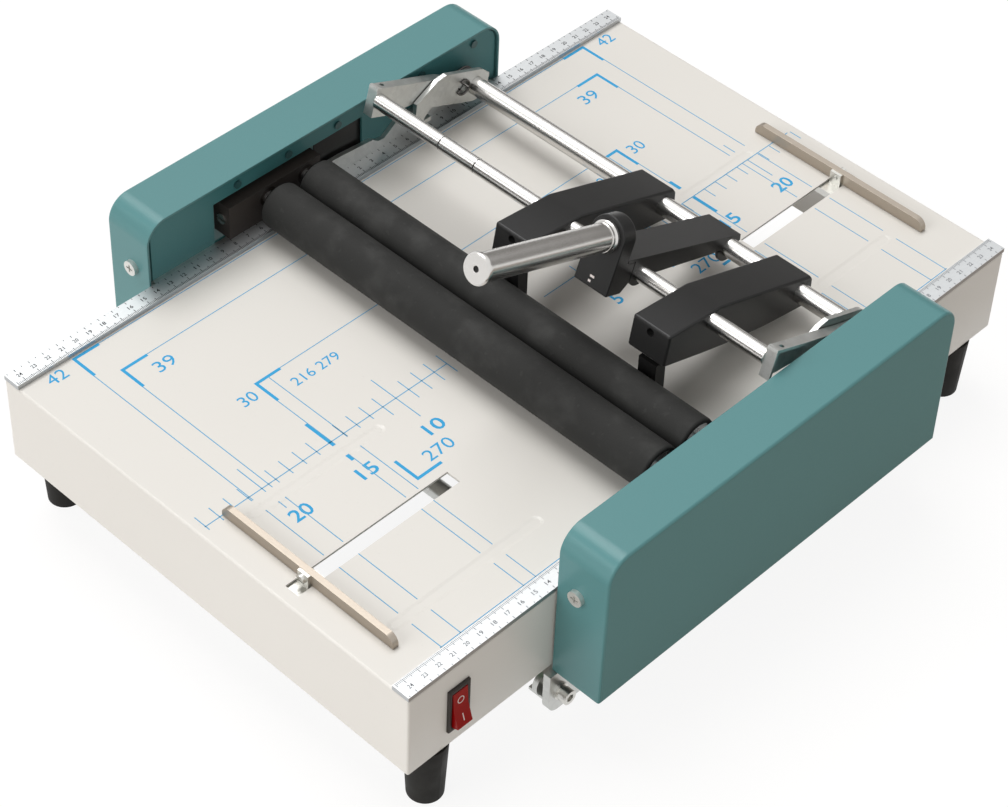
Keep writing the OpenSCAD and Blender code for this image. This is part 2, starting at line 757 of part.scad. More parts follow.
// Bracket that hangs the gear motor under the table, with the idler's stud
module motor_bracket() {
    y0 = idler_y - 10.5;
    y1 = pinion_y + gearbox_w / 2 + 6;
    y_top = anvil_y + anvil_w / 2 + 5;
    z0 = pinion_z - gearbox_h / 2;
    color([0.68, 0.68, 0.66]) {
        difference() {
            union() {
                across(bracket_x, bracket_x + bracket_t) polygon([
                    [y0, z0], [y1, z0], [y1, under_z],
                    [y_top, under_z], [y_top, under_z - 5.5], [y0, under_z - 5.5]
                ]);
                block_between([gearbox_x0, y_top, under_z - 2], [bracket_x + 1, y1, under_z]);
            }
            bar_x(bracket_x - 1, bracket_x + bracket_t + 1, pinion_y, pinion_z, drive_shaft_r + 2);
        }
        bar_x(bracket_x + bracket_t - 1, gear_x1 + 3.5, idler_y, idler_z, stud_r);
        bar_x(plate_x, gear_x0 - pass, idler_y, idler_z, stud_r + 2);
        bar_x(gear_x1 + pass, gear_x1 + 1.5, idler_y, idler_z, stud_r + 3);
    }
}

// Two posts under the table that guide the blade carrier
module blade_guides() {
    color([0.75, 0.75, 0.75]) for (s = [-1, 1]) {
        bar_z(carrier_z0 - 12, under_z, s * post_x, post_y, post_r);
        bar_z(under_z - 3, under_z, s * post_x, post_y, post_r + 3);
    }
}

module solenoid() {
    half = 22;
    z0 = under_z - 34;
    color([0.35, 0.3, 0.15]) difference() {
        block_between([solenoid_x - half, solenoid_y - half, z0],
                      [solenoid_x + half, solenoid_y + half, under_z]);
        bar_z(z0 - 1, under_z - 3, solenoid_x, solenoid_y, plunger_r + pass);
    }
}

// Socket-headed bolts that the lift lever turns on
module lift_bolts() {
    y = lift_pivot[0];
    z = lift_pivot[1];
    color([0.75, 0.75, 0.75]) both_sides() difference() {
        union() {
            bar_x(lever_x0 - 1, lug_x1 + 2, y, z, lift_bolt_r);
            bar_x(lug_x1, lug_x1 + 1.5, y, z, lift_bolt_r + 2.1);
            bar_x(lug_x1 + 1, lug_x1 + 3, y, z, lift_bolt_r + 0.8);
            bar_x(lug_x1 + 3, lug_x1 + 8, y, z, lift_bolt_r + 1.4);
        }
        translate([lug_x1 + 5.5, y, z]) rotate([0, 90, 0]) cylinder(h = 3, r = 2.6, $fn = 6);
    }
}

module switch_bezel() {
    y = switch_y;
    z = switch_z;
    color([0.08, 0.08, 0.08]) difference() {
        union() {
            block_between([side_x, y - bezel_w / 2, z - bezel_h / 2],
                          [side_x + 2, y + bezel_w / 2, z + bezel_h / 2]);
            block_between([side_x - 16, y - bezel_w / 2 + 1.1, z - bezel_h / 2 + 1.1],
                          [side_x + 1, y + bezel_w / 2 - 1.1, z + bezel_h / 2 - 1.1]);
        }
        block_between([side_x - 14, y - rocker_w / 2 - pass, z - rocker_r - pass],
                      [side_x + 3, y + rocker_w / 2 + pass, z + rocker_r + pass]);
        bar_y(y - rocker_w / 2 - 1, y + rocker_w / 2 + 1, side_x - 0.5, z, 1.5 + running);
    }
}
rocker_w = bezel_w - 4.9;
rocker_r = bezel_h / 2 - 3;

// Red rocker on two short trunnions, its lower half standing out
module rocker() {
    color([0.75, 0.08, 0.1]) translate([side_x - 0.5, switch_y, switch_z]) {
        rotate([90, 0, 0]) translate([0, 0, -rocker_w / 2]) linear_extrude(rocker_w) intersection() {
            circle(rocker_r);
            polygon([[-3, -20], [9.5, -20], [3.2, 0], [2, 20], [-3, 20]]);
        }
        translate([0, -rocker_w / 2 - 0.9, 0]) rotate([-90, 0, 0]) cylinder(h = rocker_w + 1.8, r = 1.5);
    }
}

// Recessed inlet in the left wall with its three pins
module power_inlet() {
    w = inlet_w / 2;
    h = inlet_h / 2;
    pin_length = 14;
    translate([-side_x, inlet_y, inlet_z]) rotate(90) {
        color([0.08, 0.08, 0.08]) difference() {
            union() {
                block_between([-w, 0, -h], [w, 2, h]);
                block_between([-w + 2.1, -24, -h + 2.1], [w - 2.1, 1, h - 2.1]);
            }
            block_between([-w + 3.6, -18, -h + 3.6], [w - 3.6, 3, h - 3.6]);
        }
        color([0.8, 0.8, 0.8]) for (p = [[-6, -1.5], [0, 2.5], [6, -1.5]])
            bar_y(-18, pin_length - 18, p[0], p[1], 1);
    }
}

// Board on four pillars with its transformer, relay and capacitors
module control_board() {
    transformer = [26, 28, 20];
    relay = [17, 14, 14];
    capacitor = [5, 16];
    pillar_in = board_w / 15;
    x1 = side_x - board_side;
    x0 = x1 - board_w;
    y0 = switch_y + bezel_w / 2 + 1;
    y1 = y0 + board_l;
    z = under_z - board_drop;
    color([0.1, 0.4, 0.2]) block_between([x0, y0, z], [x1, y1, z + board_t]);
    color([0.75, 0.75, 0.75])
        for (x = [x0 + pillar_in, x1 - pillar_in], y = [y0 + pillar_in, y1 - pillar_in])
            bar_z(z + board_t, under_z, x, y, 0.75 * pillar_in);
    color([0.2, 0.2, 0.22])
        translate([x1 - pillar_in - transformer[0], y0 + 3 * pillar_in, z - transformer[2]])
            cube(transformer);
    color([0.1, 0.2, 0.5]) translate([x0 + pillar_in + 1, y0 + 2 * pillar_in, z - relay[2]]) cube(relay);
    color([0.15, 0.15, 0.15]) for (y = [y1 - 22, y1 - 10])
        bar_z(z - capacitor[1], z, x0 + pillar_in + 9, y, capacitor[0]);
}

module roller_core(y) {
    color([0.6, 0.6, 0.6]) {
        bar_x(-roller_l / 2 + 2, roller_l / 2 - 2, y, roller_z, core_r);
        bar_x(-block_x1 - 2, gear_x1 + 1.5, y, roller_z, journal_r);
    }
}

module roller_sleeve(y) {
    color([0.14, 0.14, 0.14]) difference() {
        bar_x(-roller_l / 2, roller_l / 2, y, roller_z, roller_r);
        bar_x(-roller_l / 2 - 1, roller_l / 2 + 1, y, roller_z, core_r);
    }
}

module roller_gear(y, turn) {
    color([0.7, 0.65, 0.5]) gear(gear_x0, gear_x1, y, roller_z, roller_teeth, turn, journal_r);
}

module idler_gear() {
    color([0.85, 0.83, 0.75])
        gear(gear_x0, gear_x1, idler_y, idler_z, idler_teeth, idler_turn, stud_r + running);
}

module motor_pinion() {
    color([0.7, 0.65, 0.5])
        gear(gear_x0, gear_x1, pinion_y, pinion_z, pinion_teeth, pinion_turn, drive_shaft_r);
    color([0.7, 0.7, 0.7]) bar_x(gearbox_x1 - 6, gear_x1 + 1, pinion_y, pinion_z, drive_shaft_r);
}

module fold_blade() {
    color([0.78, 0.78, 0.78])
        block_between([-blade_x, nip_y - blade_t / 2, blade_z0], [blade_x, nip_y + blade_t / 2, blade_z1]);
}

// Bar that holds the blade, with ears round the posts, end pins, and a dropped tongue for the plunger
module blade_carrier() {
    z1 = carrier_z0 + carrier_h;
    color([0.5, 0.5, 0.52]) {
        difference() {
            union() {
                block_between([-carrier_x, nip_y - carrier_half, carrier_z0],
                              [carrier_x, nip_y + carrier_half, z1]);
                for (s = [-1, 1])
                    block_between([s * post_x - 9, nip_y, carrier_z0],
                                  [s * post_x + 9, post_y + post_r + 3, z1]);
                block_between([solenoid_x - 10, solenoid_y - 8, tongue_z],
                              [solenoid_x + 10, nip_y + carrier_half, tongue_z + tongue_t]);
                block_between([solenoid_x - 10, nip_y - carrier_half, tongue_z],
                              [solenoid_x + 10, nip_y + carrier_half, carrier_z0 + 1]);
            }
            block_between([-blade_x, nip_y - blade_t / 2, blade_z0],
                          [blade_x, nip_y + blade_t / 2, z1 + 1]);
            for (s = [-1, 1])
                bar_z(carrier_z0 - 1, z1 + 1, s * post_x, post_y, post_r + running);
        }
        both_sides() {
            block_between([carrier_x - carrier_end, nip_y - carrier_half, pin_z - 6],
                          [carrier_x, nip_y + carrier_half, carrier_z0 + 1]);
            bar_x(carrier_x - 1, lever_x0 + lever_t + 0.5, nip_y, pin_z, pin_r);
        }
    }
}

module solenoid_plunger() {
    color([0.7, 0.7, 0.7])
        bar_z(tongue_z + tongue_t, under_z - 20, solenoid_x, solenoid_y, plunger_r);
}

// Two arms on the lift bolts, joined by a tube, whose forks hold the carrier's end pins
module lift_lever() {
    color([0.66, 0.66, 0.64]) {
        both_sides() across(lever_x0, lever_x0 + lever_t)
            translate(lift_pivot) rotate(lever_angle) difference() {
                union() {
                    translate([0, -7]) square([lever_reach + 11, 14]);
                    circle(9);
                }
                circle(lift_bolt_r + running);
                translate([lever_reach - pin_r - 0.6, -pin_r - 0.35]) square([20, 2 * pin_r + 0.7]);
            }
        bar_x(-lever_x0 - 1, lever_x0 + 1, lift_pivot[0] + lift_tube_reach * cos(lever_angle),
              lift_pivot[1] + lift_tube_reach * sin(lever_angle), 6);
    }
}

// Upper edge of an arm, from its front corner to behind the rear shaft
arm_top = [
    rod_at + [-0.5, 9.3], rod_at + [24.4, -0.8], rod_at + [31.8, -3.6], rod_at + [44.8, -8.7],
    shaft_at + [-14.5, 12.2], shaft_at + [-1.7, 8], shaft_at + [9.5, 5]
];
arm_front_foot = rod_at + [-6, -9.7];

// Channel-shaped arm: a side plate with a top and a front flange turned outwards
module arm() {
    thin = [-0.37 * arm_t, -0.93 * arm_t];
    back = [0.98 * arm_t, -0.2 * arm_t];
    flange_points = 4;
    flange_end = arm_top[flange_points][0];
    color([0.75, 0.75, 0.73]) difference() {
        union() {
            across(arm_x, arm_x + arm_t)
                polygon(concat(arm_top, [
                    shaft_at + [15.5, 0], shaft_at + [15.5, -3], shaft_at + [9.5, -8.5],
                    shaft_at + [-8, -9], rod_at + [29, -18.2], rod_at + [6.5, -14.8], arm_front_foot
                ]));
            across(arm_x, arm_x + arm_w) {
                polygon(concat(
                    [for (i = [0 : flange_points]) arm_top[i]],
                    [for (i = [flange_points : -1 : 0]) arm_top[i] + thin]
                ));
                polygon([arm_top[0], arm_top[0] + back, arm_front_foot + back, arm_front_foot]);
            }
        }
        bar_x(arm_x - 1, arm_x + arm_t + 1, shaft_y, shaft_z, shaft_r);
        bar_x(arm_x - 1, arm_x + arm_t, rod_y, rod_z, 3);
        bar_z(rod_z - 2, rod_z + 20, arm_x + arm_t + 2, rod_y + 6.5, 1.5);
        bar_x(arm_x - 1, arm_x + arm_t + 1, hook_wire_at[0] + 0.15, hook_wire_at[1] + 0.5, 1.9);
        translate([0, 0, shaft_z]) linear_extrude(40) polygon([
            [arm_x + arm_t, flange_end], [arm_x + arm_w + 1, flange_end - 15],
            [arm_x + arm_w + 1, flange_end + 5], [arm_x + arm_t, flange_end + 5]
        ]);
    }
}

// Chromed rod between the arms, with a riveted spigot at each end and two locating grooves
module front_rod() {
    color([0.82, 0.82, 0.82]) {
        difference() {
            bar_x(-arm_x, arm_x, rod_y, rod_z, rod_r);
            for (x = [-97.7, -69.1])
                difference() {
                    bar_x(x - 0.6, x + 0.6, rod_y, rod_z, rod_r + 1);
                    bar_x(x - 1, x + 1, rod_y, rod_z, rod_r - 0.4);
                }
        }
        both_sides() bar_x(arm_x - 1, arm_x + arm_t, rod_y, rod_z, 3);
    }
}

// Places a child in the handle's own frame: foot of the bar at the origin, +Y backwards along its axis
module at_handle() {
    translate([handle_x, handle_at[0], handle_at[1]]) rotate([-handle_tilt, 0, 0]) children();
}

// Black bracket with a round top, which the handle bar screws into
module handle_bracket() {
    half = bracket_w / 2;
    color([0.08, 0.08, 0.08]) at_handle() difference() {
        union() {
            translate([-half, 0, -mount_low]) cube([bracket_w, mount_t, mount_low]);
            bar_y(0, mount_t, 0, 0, half);
            rotate([90, 0, 90]) translate([0, 0, -half]) linear_extrude(bracket_w) polygon([
                [0, -mount_low], [mount_d - 5, -mount_low], [mount_d, -mount_low + 6],
                [mount_d, -mount_step], [0, -mount_step]
            ]);
        }
        bar_y(-1, mount_t + 1, 0, 0, handle_screw_r);
    }
}
mount_t = 11;
mount_d = 18;
mount_low = 33;
mount_step = 13;
handle_screw_r = 4;

// Inverted channel from the bracket back to the rear shaft, with lugs on both rods
module handle_channel() {
    half = bracket_w / 2;
    front = handle_at + [6, -14.2];
    rear = shaft_at + [10.5, 3.5];
    slope = (rear[1] - front[1]) / (rear[0] - front[0]);
    roof_drop = 2.3;
    rod_lug_r = 8.5;
    shaft_lug_r = 9.5;
    color([0.1, 0.1, 0.1]) difference() {
        union() {
            across(handle_x - half, handle_x + half) polygon([
                front, rear, shaft_at + [10.5, -1], shaft_at, shaft_at + [-15.6, 3.7],
                rod_at + [13, -8.2], rod_at + [-16.3, 13.3]
            ]);
            across(handle_x - half, handle_x + half) translate(rod_at) circle(rod_lug_r);
            across(handle_x - half, handle_x + half) intersection() {
                translate(shaft_at) circle(shaft_lug_r);
                translate(shaft_at - [20, 20]) square([40, 21]);
            }
        }
        across(handle_x - half + 2, handle_x + half - 2) polygon([
            front + [-30, -30 * slope - roof_drop], rear + [-3, -3 * slope - roof_drop],
            rear + [-3, -40], front + [-30, -60]
        ]);
        bar_x(handle_x - 20, handle_x + 20, rod_y, rod_z, rod_r);
        bar_x(handle_x - 20, handle_x + 20, shaft_y, shaft_z, shaft_r);
        at_handle() {
            translate([-20, -20, -50]) cube([40, 20 + mount_d, 50 - mount_step]);
            translate([-20, -20, -mount_step - 1]) cube([40, 20 + mount_t, 50]);
        }
    }
}

module handle_bar() {
    color([0.82, 0.82, 0.82]) at_handle() {
        bar_y(-handle_l, 0, 0, 0, handle_r);
        bar_y(-3, 0, 0, 0, handle_r + 1.25);
        bar_y(-1, 7, 0, 0, handle_screw_r);
    }
}

module handle_cap() {
    color([0.85, 0.85, 0.85]) at_handle() difference() {
        union() {
            bar_y(-handle_l - 2.8, -handle_l, 0, 0, handle_r + 1);
            translate([0, -handle_l - 2.8, 0]) rotate([90, 0, 0])
                cylinder(h = 0.8, r1 = handle_r + 1, r2 = handle_r + 0.2);
        }
        bar_y(-handle_l - 5, -handle_l - 1, 0, 0, 1.8);
    }
}

// Side view of a head, from its front foot round over the top
head_side = [
    rod_at + [-39, -10.7], rod_at + [-35.5, 9.8], rod_at + [8, 5.3], shaft_at + [9.5, 6.2],
    shaft_at + [11.5, 3.2], shaft_at + [11.5, -5], shaft_at + [4.5, -13], shaft_at + [-44.5, -4],
    rod_at + [12, -27.2], rod_at + [-6, -21.7]
];

module head(x) {
    inner = head_w / 2 - head_wall;
    color([0.1, 0.1, 0.1]) difference() {
        across(x - head_w / 2, x + head_w / 2) polygon(head_side);
        across(x - inner, x + inner) polygon([
            rod_at + [-36, -40], roof_front, roof_rod,
            shaft_at + [6.6, 2.6], shaft_at + [8.3, 0], shaft_at + [8.3, -30]
        ]);
        bar_x(x - head_w, x + head_w, rod_y, rod_z, rod_r + running);
        bar_x(x - head_w, x + head_w, shaft_y, shaft_z, shaft_r + running);
        bar_x(x - head_w / 2 + 1, x + head_w / 2 - 1, hinge_at[0], hinge_at[1], hinge_r + running);
        bar_y(rod_y - 45, rod_y - 30, x, rod_z + 5.2, 2.5);
    }
}

// Driver blade that hangs from the roof of a head into its magazine's nose
module driver(x) {
    foot = 12;
    color([0.7, 0.7, 0.7]) {
        across(x - 5, x + 5) polygon([
            [driver_y, roof_z(driver_y)], [driver_y + foot, roof_z(driver_y + foot)],
            [driver_y + foot, roof_z(driver_y + foot) - 1.5],
            [driver_y + driver_t, roof_z(driver_y + driver_t) - 1.5],
            [driver_y + driver_t, rod_z - 8], [driver_y, rod_z - 8]
        ]);
    }
}

// Staple magazine with its two-legged nose, hinged in the head on two trunnions
module magazine(x) {
    back = nose_y + nose_l;
    color([0.16, 0.16, 0.17]) difference() {
        union() {
            across(x - nose_w / 2, x + nose_w / 2) polygon([
                [nose_y, nose_z], [back, nose_z], [back, rod_z - 5.2], [nose_y + 4, rod_z - 5.2],
                [nose_y + 4, rod_z - 16.2], [nose_y, rod_z - 16.2]
            ]);
            across(x - magazine_w / 2, x + magazine_w / 2) {
                polygon([
                    [back - 1, rod_z - 11.7], rod_at + [-9, -16], rod_at + [12, -22.6], hinge_at + [-29, 1],
                    hinge_at + [-4, -4.5], hinge_at + [-4, 4.5], hinge_at + [-29, 10.5], rod_at + [7, -8.7],
                    rod_at + [-7, -8.2], [back - 1, rod_z - 5.2]
                ]);
                translate(hinge_at) circle(6);
            }
            bar_x(x - head_w / 2 + 1 + pass, x + head_w / 2 - 1 - pass, hinge_at[0], hinge_at[1], hinge_r);
        }
        across(x - magazine_w / 2 + 1.5, x + magazine_w / 2 - 1.5) polygon([
            [back + 2, rod_z - 8.5], rod_at + [-8, -13.5], rod_at + [12, -19.8], hinge_at + [-28, 3.8],
            hinge_at + [-8, -1], hinge_at + [-8, 30], [back + 2, rod_z + 20]
        ]);
        block_between([x - 5.3, driver_y - 1.2, nose_z - 1], [x + 5.3, driver_y + driver_t + 0.9, rod_z]);
        block_between([x - 1.5, nose_y - 1, nose_z - 1], [x + 1.5, nose_y + 4.2, nose_z + 14]);
    }
}

// Stop bar with rounded upper corners, its front face at y
module stop_bar(x, y) {
    r = stop_h - 1.5;
    z = table_z + pass;
    half = stop_l / 2;
    color([0.66, 0.6, 0.53]) difference() {
        translate([x, y + stop_t, z]) rotate([90, 0, 0]) linear_extrude(stop_t) intersection() {
            translate([-half, 0]) square([stop_l, stop_h]);
            union() {
                translate([-half + r, 0]) square([stop_l - 2 * r, stop_h]);
                for (s = [-1, 1])
                    translate([s * (half - r), stop_h - r]) circle(r);
                translate([-half, 0]) square([stop_l, stop_h - r]);
            }
        }
        bar_y(y - 1, y + stop_t + 1, x, z + stop_h / 2, 1.6);
    }
}

// Tab in front of a stop bar with its screw, on a friction plate under the table
module stop_slide(x, y, screw_behind) {
    tab_w = stop_slot_w - 2;
    z = table_z + pass + stop_h / 2;
    head_y = screw_behind ? y + stop_t : y - 4.4;
    color([0.7, 0.7, 0.7]) {
        difference() {
            block_between([x - tab_w / 2, y - 2, under_z - 5], [x + tab_w / 2, y, table_z + stop_h]);
            bar_y(y - 3, y + 1, x, z, 1.6);
        }
        block_between([x - 13, y - 10, under_z - 5], [x + 13, y + 10, under_z - pass]);
        bar_y(y - 2.6, y + stop_t + 1, x, z, 1.6);
        difference() {
            bar_y(head_y, head_y + 2.4, x, z, 3);
            block_between([x - 3, screw_behind ? head_y + 1.6 : head_y - 1, z - 0.4],
                          [x + 3, screw_behind ? head_y + 3 : head_y + 0.8, z + 0.4]);
        }
    }
}

base_shell();
rulers();
feet();
foot_screws();
left() side_plate();  // left_side_plate
side_plate();  // right_side_plate
left() hub_plate();  // left_hub_plate
hub_plate();  // right_hub_plate
left() cover();  // left_cover
cover();  // right_cover
left() inner_panel();  // left_inner_panel
inner_panel();  // right_inner_panel
cover_screws();
left() roller_block();  // left_roller_block
roller_block();  // right_roller_block
roller_bushes();
left() pressure_screw();  // left_pressure_screw
pressure_screw();  // right_pressure_screw
rear_shaft();
shaft_rings();
torsion_springs();
anvil_bar();
gear_motor();
motor_bracket();
blade_guides();
solenoid();
lift_bolts();
switch_bezel();
power_inlet();
control_board();
roller_core(front_y);  // front_roller_core
roller_sleeve(front_y);  // front_roller_sleeve
roller_gear(front_y, front_turn);  // front_roller_gear
roller_core(rear_y);  // rear_roller_core
roller_sleeve(rear_y);  // rear_roller_sleeve
roller_gear(rear_y, rear_turn);  // rear_roller_gear
idler_gear();
motor_pinion();
fold_blade();
blade_carrier();
solenoid_plunger();
lift_lever();
left() arm();  // left_arm
arm();  // right_arm
front_rod();
handle_bracket();
handle_channel();
handle_bar();
handle_cap();
head(left_head_x);  // left_head
driver(left_head_x);  // left_driver
magazine(left_head_x);  // left_magazine
head(right_head_x);  // right_head
driver(right_head_x);  // right_driver
magazine(right_head_x);  // right_magazine
stop_bar(near_stop_x, near_stop_y);  // near_stop_bar
stop_slide(near_stop_x, near_stop_y, false);  // near_stop_slide
stop_bar(far_stop_x, far_stop_y);  // far_stop_bar
stop_slide(far_stop_x, far_stop_y, true);  // far_stop_slide
rocker();
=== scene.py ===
import json
import math

import bmesh
import bpy
from mathutils import Matrix, Vector


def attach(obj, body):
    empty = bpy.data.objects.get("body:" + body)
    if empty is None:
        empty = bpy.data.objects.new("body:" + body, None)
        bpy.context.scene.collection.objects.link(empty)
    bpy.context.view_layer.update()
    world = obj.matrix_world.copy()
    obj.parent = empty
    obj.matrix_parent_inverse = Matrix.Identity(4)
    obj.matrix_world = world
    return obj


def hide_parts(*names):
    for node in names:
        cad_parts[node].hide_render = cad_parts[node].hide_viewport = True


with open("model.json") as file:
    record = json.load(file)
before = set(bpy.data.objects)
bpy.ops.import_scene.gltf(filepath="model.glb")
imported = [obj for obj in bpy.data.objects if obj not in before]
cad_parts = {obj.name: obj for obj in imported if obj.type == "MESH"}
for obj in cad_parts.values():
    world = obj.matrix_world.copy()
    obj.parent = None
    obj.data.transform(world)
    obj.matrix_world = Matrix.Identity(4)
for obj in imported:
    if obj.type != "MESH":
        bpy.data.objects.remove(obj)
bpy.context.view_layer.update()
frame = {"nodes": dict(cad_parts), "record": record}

WHITE = (1.0, 1.0, 1.0, 1.0)
WARM_WHITE = (1.0, 0.965, 0.93, 1.0)
FLOOR_GREY = (0.84, 0.81, 0.78, 1.0)
BLACK = (0.0, 0.0, 0.0, 1.0)

# Places on the machine in millimetres, pairs from front to back and up

TABLE = 102.0
RULER = 105.0
SIDE = 161.0
END = 246.5
COVER_OUTSIDE = 197.0
PANEL_FACE = 166.9
ROD_AXIS = (33.0, 151.2)
SHAFT_AXIS = (112.5, 122.0)
FOLD_SLOT = (-39.0, -30.0)
HEAD_MIDDLES = {"left": -6.5, "right": 99.0}

nodes = frame["nodes"]
body_of = {
    node: body
    for body, members in frame["record"]["behaviour"]["bodies"].items()
    for node in members
}
slot_of = {part["node"]: part["material_slot"] for part in frame["record"]["subparts"]}


def tone(red, green, blue):
    """A colour given in screen values, as the shader takes it."""

    def linear(value):
        value = value / 255
        return value / 12.92 if value <= 0.04045 else ((value + 0.055) / 1.055) ** 2.4

    return (linear(red), linear(green), linear(blue), 1.0)


def scaled(colour, amount):
    """The same colour, lighter or darker."""
    return tuple(min(1.0, value * amount) for value in colour[:3]) + (1.0,)


class Wire:
    """The output of a shader node, which can be used in sums."""

    def __init__(self, graph, socket):
        self.graph = graph
        self.socket = socket

    def __add__(self, other):
        return self.graph.sum("ADD", self, other)

    __radd__ = __add__

    def __rsub__(self, other):
        return self.graph.sum("SUBTRACT", other, self)

    def __mul__(self, other):
        return self.graph.sum("MULTIPLY", self, other)

    __rmul__ = __mul__


class Graph:
    """The nodes of a material or of the world, added as they are needed."""

    def __init__(self, tree, output):
        self.tree = tree
        self.surface = tree.nodes[output].inputs["Surface"]

    def feed(self, socket, value):
        """Links a wire to a socket, or sets the socket's own value."""
        if isinstance(value, Wire):
            self.tree.links.new(value.socket, socket)
        else:
            socket.default_value = value

    def add(self, kind, settings=None, sockets=None, output=0):
        """Adds any node: its settings first, then the values or links of its sockets."""
        node = self.tree.nodes.new(kind)
        for name, value in (settings or {}).items():
            setattr(node, name, value)
        for name, value in (sockets or {}).items():
            self.feed(node.inputs[name], value)
        return Wire(self, node.outputs[output])

    def sum(self, operation, first, second):
        return self.add("ShaderNodeMath", {"operation": operation}, {0: first, 1: second})

    def white_rays(self):
        """1 for the rays that see a white background: camera, reflected and transmitted ones."""
        kinds = ("Is Camera Ray", "Is Glossy Ray", "Is Transmission Ray")
        seen, glossy, clear = [self.add("ShaderNodeLightPath", output=kind) for kind in kinds]
        return seen + glossy + clear


class Finish(Graph):
    """A material on one Principled shader."""

    def __init__(self, name, colour, roughness, metallic=0.0, **fixed):
        self.material = bpy.data.materials.new(name)
        self.material.use_nodes = True
        self.material.diffuse_color = colour
        super().__init__(self.material.node_tree, "Material Output")
        self.shader = self.tree.nodes["Principled BSDF"]
        self.set(Base_Color=colour, Roughness=roughness, Metallic=metallic, **fixed)
        self.place = self.add("ShaderNodeTexCoord", output="Object")

    def set(self, **values):
        """Feeds the shader's sockets, whose names have an underscore for each space."""
        for name, value in values.items():
            self.feed(self.shader.inputs[name.replace("_", " ")], value)

    def noise(self, scale, detail=2.0, stretch=None):
        """Noise on object coordinates, squeezed along the axes where stretch is above 1."""
        place = self.place
        if stretch:
            place = self.add("ShaderNodeMapping", None, {"Vector": place, "Scale": stretch})
        return self.add("ShaderNodeTexNoise", None, {"Vector": place, "Scale": scale, "Detail": detail})

    def step(self, factor, low, high):
        """A wire that rises from 0 to 1 between two values."""
        return self.add(
            "ShaderNodeMapRange",
            {"interpolation_type": "SMOOTHSTEP"},
            {"Value": factor, "From Min": low, "From Max": high},
        )

    def mix(self, factor, first, second):
        """The first colour where the factor is 0, and the second where it is 1."""
        return self.add("ShaderNodeMix", {"data_type": "RGBA"}, {0: factor, 6: first, 7: second}, output=2)

    def bump(self, height, distance):
        """Raises the surface by this distance in metres where the height is 1."""
        self.set(Normal=self.add("ShaderNodeBump", None, {"Height": height, "Distance": distance}))


def powder_coat(name, colour, roughness, peel=0.00003, grain=0.12, **fixed):
    """Baked paint: a fine orange peel, a faint drift of tone and a little dust in it."""
    paint = Finish(name, colour, roughness, **fixed)
    drift = paint.noise(6.0, 3.0)
    peel_noise = paint.noise(900.0, 2.0)
    dust = paint.step(paint.noise(420.0, 1.0), 0.72, 0.78)
    coat = paint.mix(drift, scaled(colour, 0.965), scaled(colour, 1.03))
    coat = paint.mix(peel_noise * grain, coat, scaled(colour, 0.8))
    coat = paint.mix(dust * 0.05, coat, scaled(colour, 0.5))
    paint.set(Base_Color=coat, Roughness=peel_noise * 0.1 + (roughness - 0.05))
    paint.bump(peel_noise + drift * 2.0, peel)
    return paint.material


def crackle(name, colour, roughness):
    """Black enamel with a close grain that greys where the light catches it."""
    paint = Finish(name, colour, roughness, Specular_IOR_Level=0.3)
    grain = paint.noise(1400.0, 3.0)
    drift = paint.noise(14.0, 2.0)
    tint = paint.mix(grain, scaled(colour, 0.75), scaled(colour, 1.35))
    paint.set(
        Base_Color=paint.mix(drift * 0.5, tint, scaled(colour, 1.15)),
        Roughness=grain * 0.16 + (roughness - 0.08),
    )
    paint.bump(grain, 0.00006)
    return paint.material


def moulding(name, colour, roughness, grain_size=1100.0, **fixed):
    """Moulded plastic with a spark-eroded skin."""
    plastic = Finish(name, colour, roughness, **fixed)
    grain = plastic.noise(grain_size, 2.0)
    flow = plastic.noise(30.0, 2.0)
    plastic.set(
        Base_Color=plastic.mix(flow, scaled(colour, 0.92), scaled(colour, 1.08)),
        Roughness=grain * 0.12 + (roughness - 0.06),
    )
    plastic.bump(grain, 0.00003)
    return plastic.material


def rubber(name, colour, roughness, bloom):
    """Ground rubber: fine grain, with a grey bloom in patches where paper has polished it."""
    skin = Finish(name, colour, roughness, Specular_IOR_Level=0.18)
    grain = skin.noise(1700.0, 3.0)
    patches = skin.step(skin.noise(46.0, 5.0), 0.46, 0.72)
    marks = skin.step(skin.noise(260.0, 2.0), 0.64, 0.72)
    tint = skin.mix(grain, scaled(colour, 0.82), scaled(colour, 1.2))
    tint = skin.mix(patches * bloom, tint, scaled(colour, 1.9))
    tint = skin.mix(marks * (bloom * 0.35), tint, scaled(colour, 2.4))
    skin.set(Base_Color=tint, Roughness=patches * -0.12 + grain * 0.1 + roughness)
    skin.bump(grain, 0.00008)
    return skin.material


def sheet_steel(name, colour, roughness, spangle):
    """Zinc-coated sheet: crystals of slightly different grey, and rolling lines."""
    steel = Finish(name, colour, roughness, metallic=1.0)
    cells = steel.add("ShaderNodeTexVoronoi", None, {"Vector": steel.place, "Scale": 330.0}, output="Color")
    shade = steel.add("ShaderNodeSeparateColor", None, {"Color": cells})
    lines = steel.noise(60.0, 4.0, stretch=(1.0, 14.0, 14.0))
    cloud = steel.noise(24.0, 3.0)
    tint = steel.mix(shade * spangle + lines * 0.3, scaled(colour, 0.82), scaled(colour, 1.12))
    steel.set(
        Base_Color=steel.mix(cloud * 0.4, tint, scaled(colour, 0.9)),
        Roughness=shade * (0.12 * spangle) + cloud * 0.12 + (roughness - 0.08),
    )
    steel.bump(lines + shade * (0.5 * spangle), 0.00002)
    return steel.material


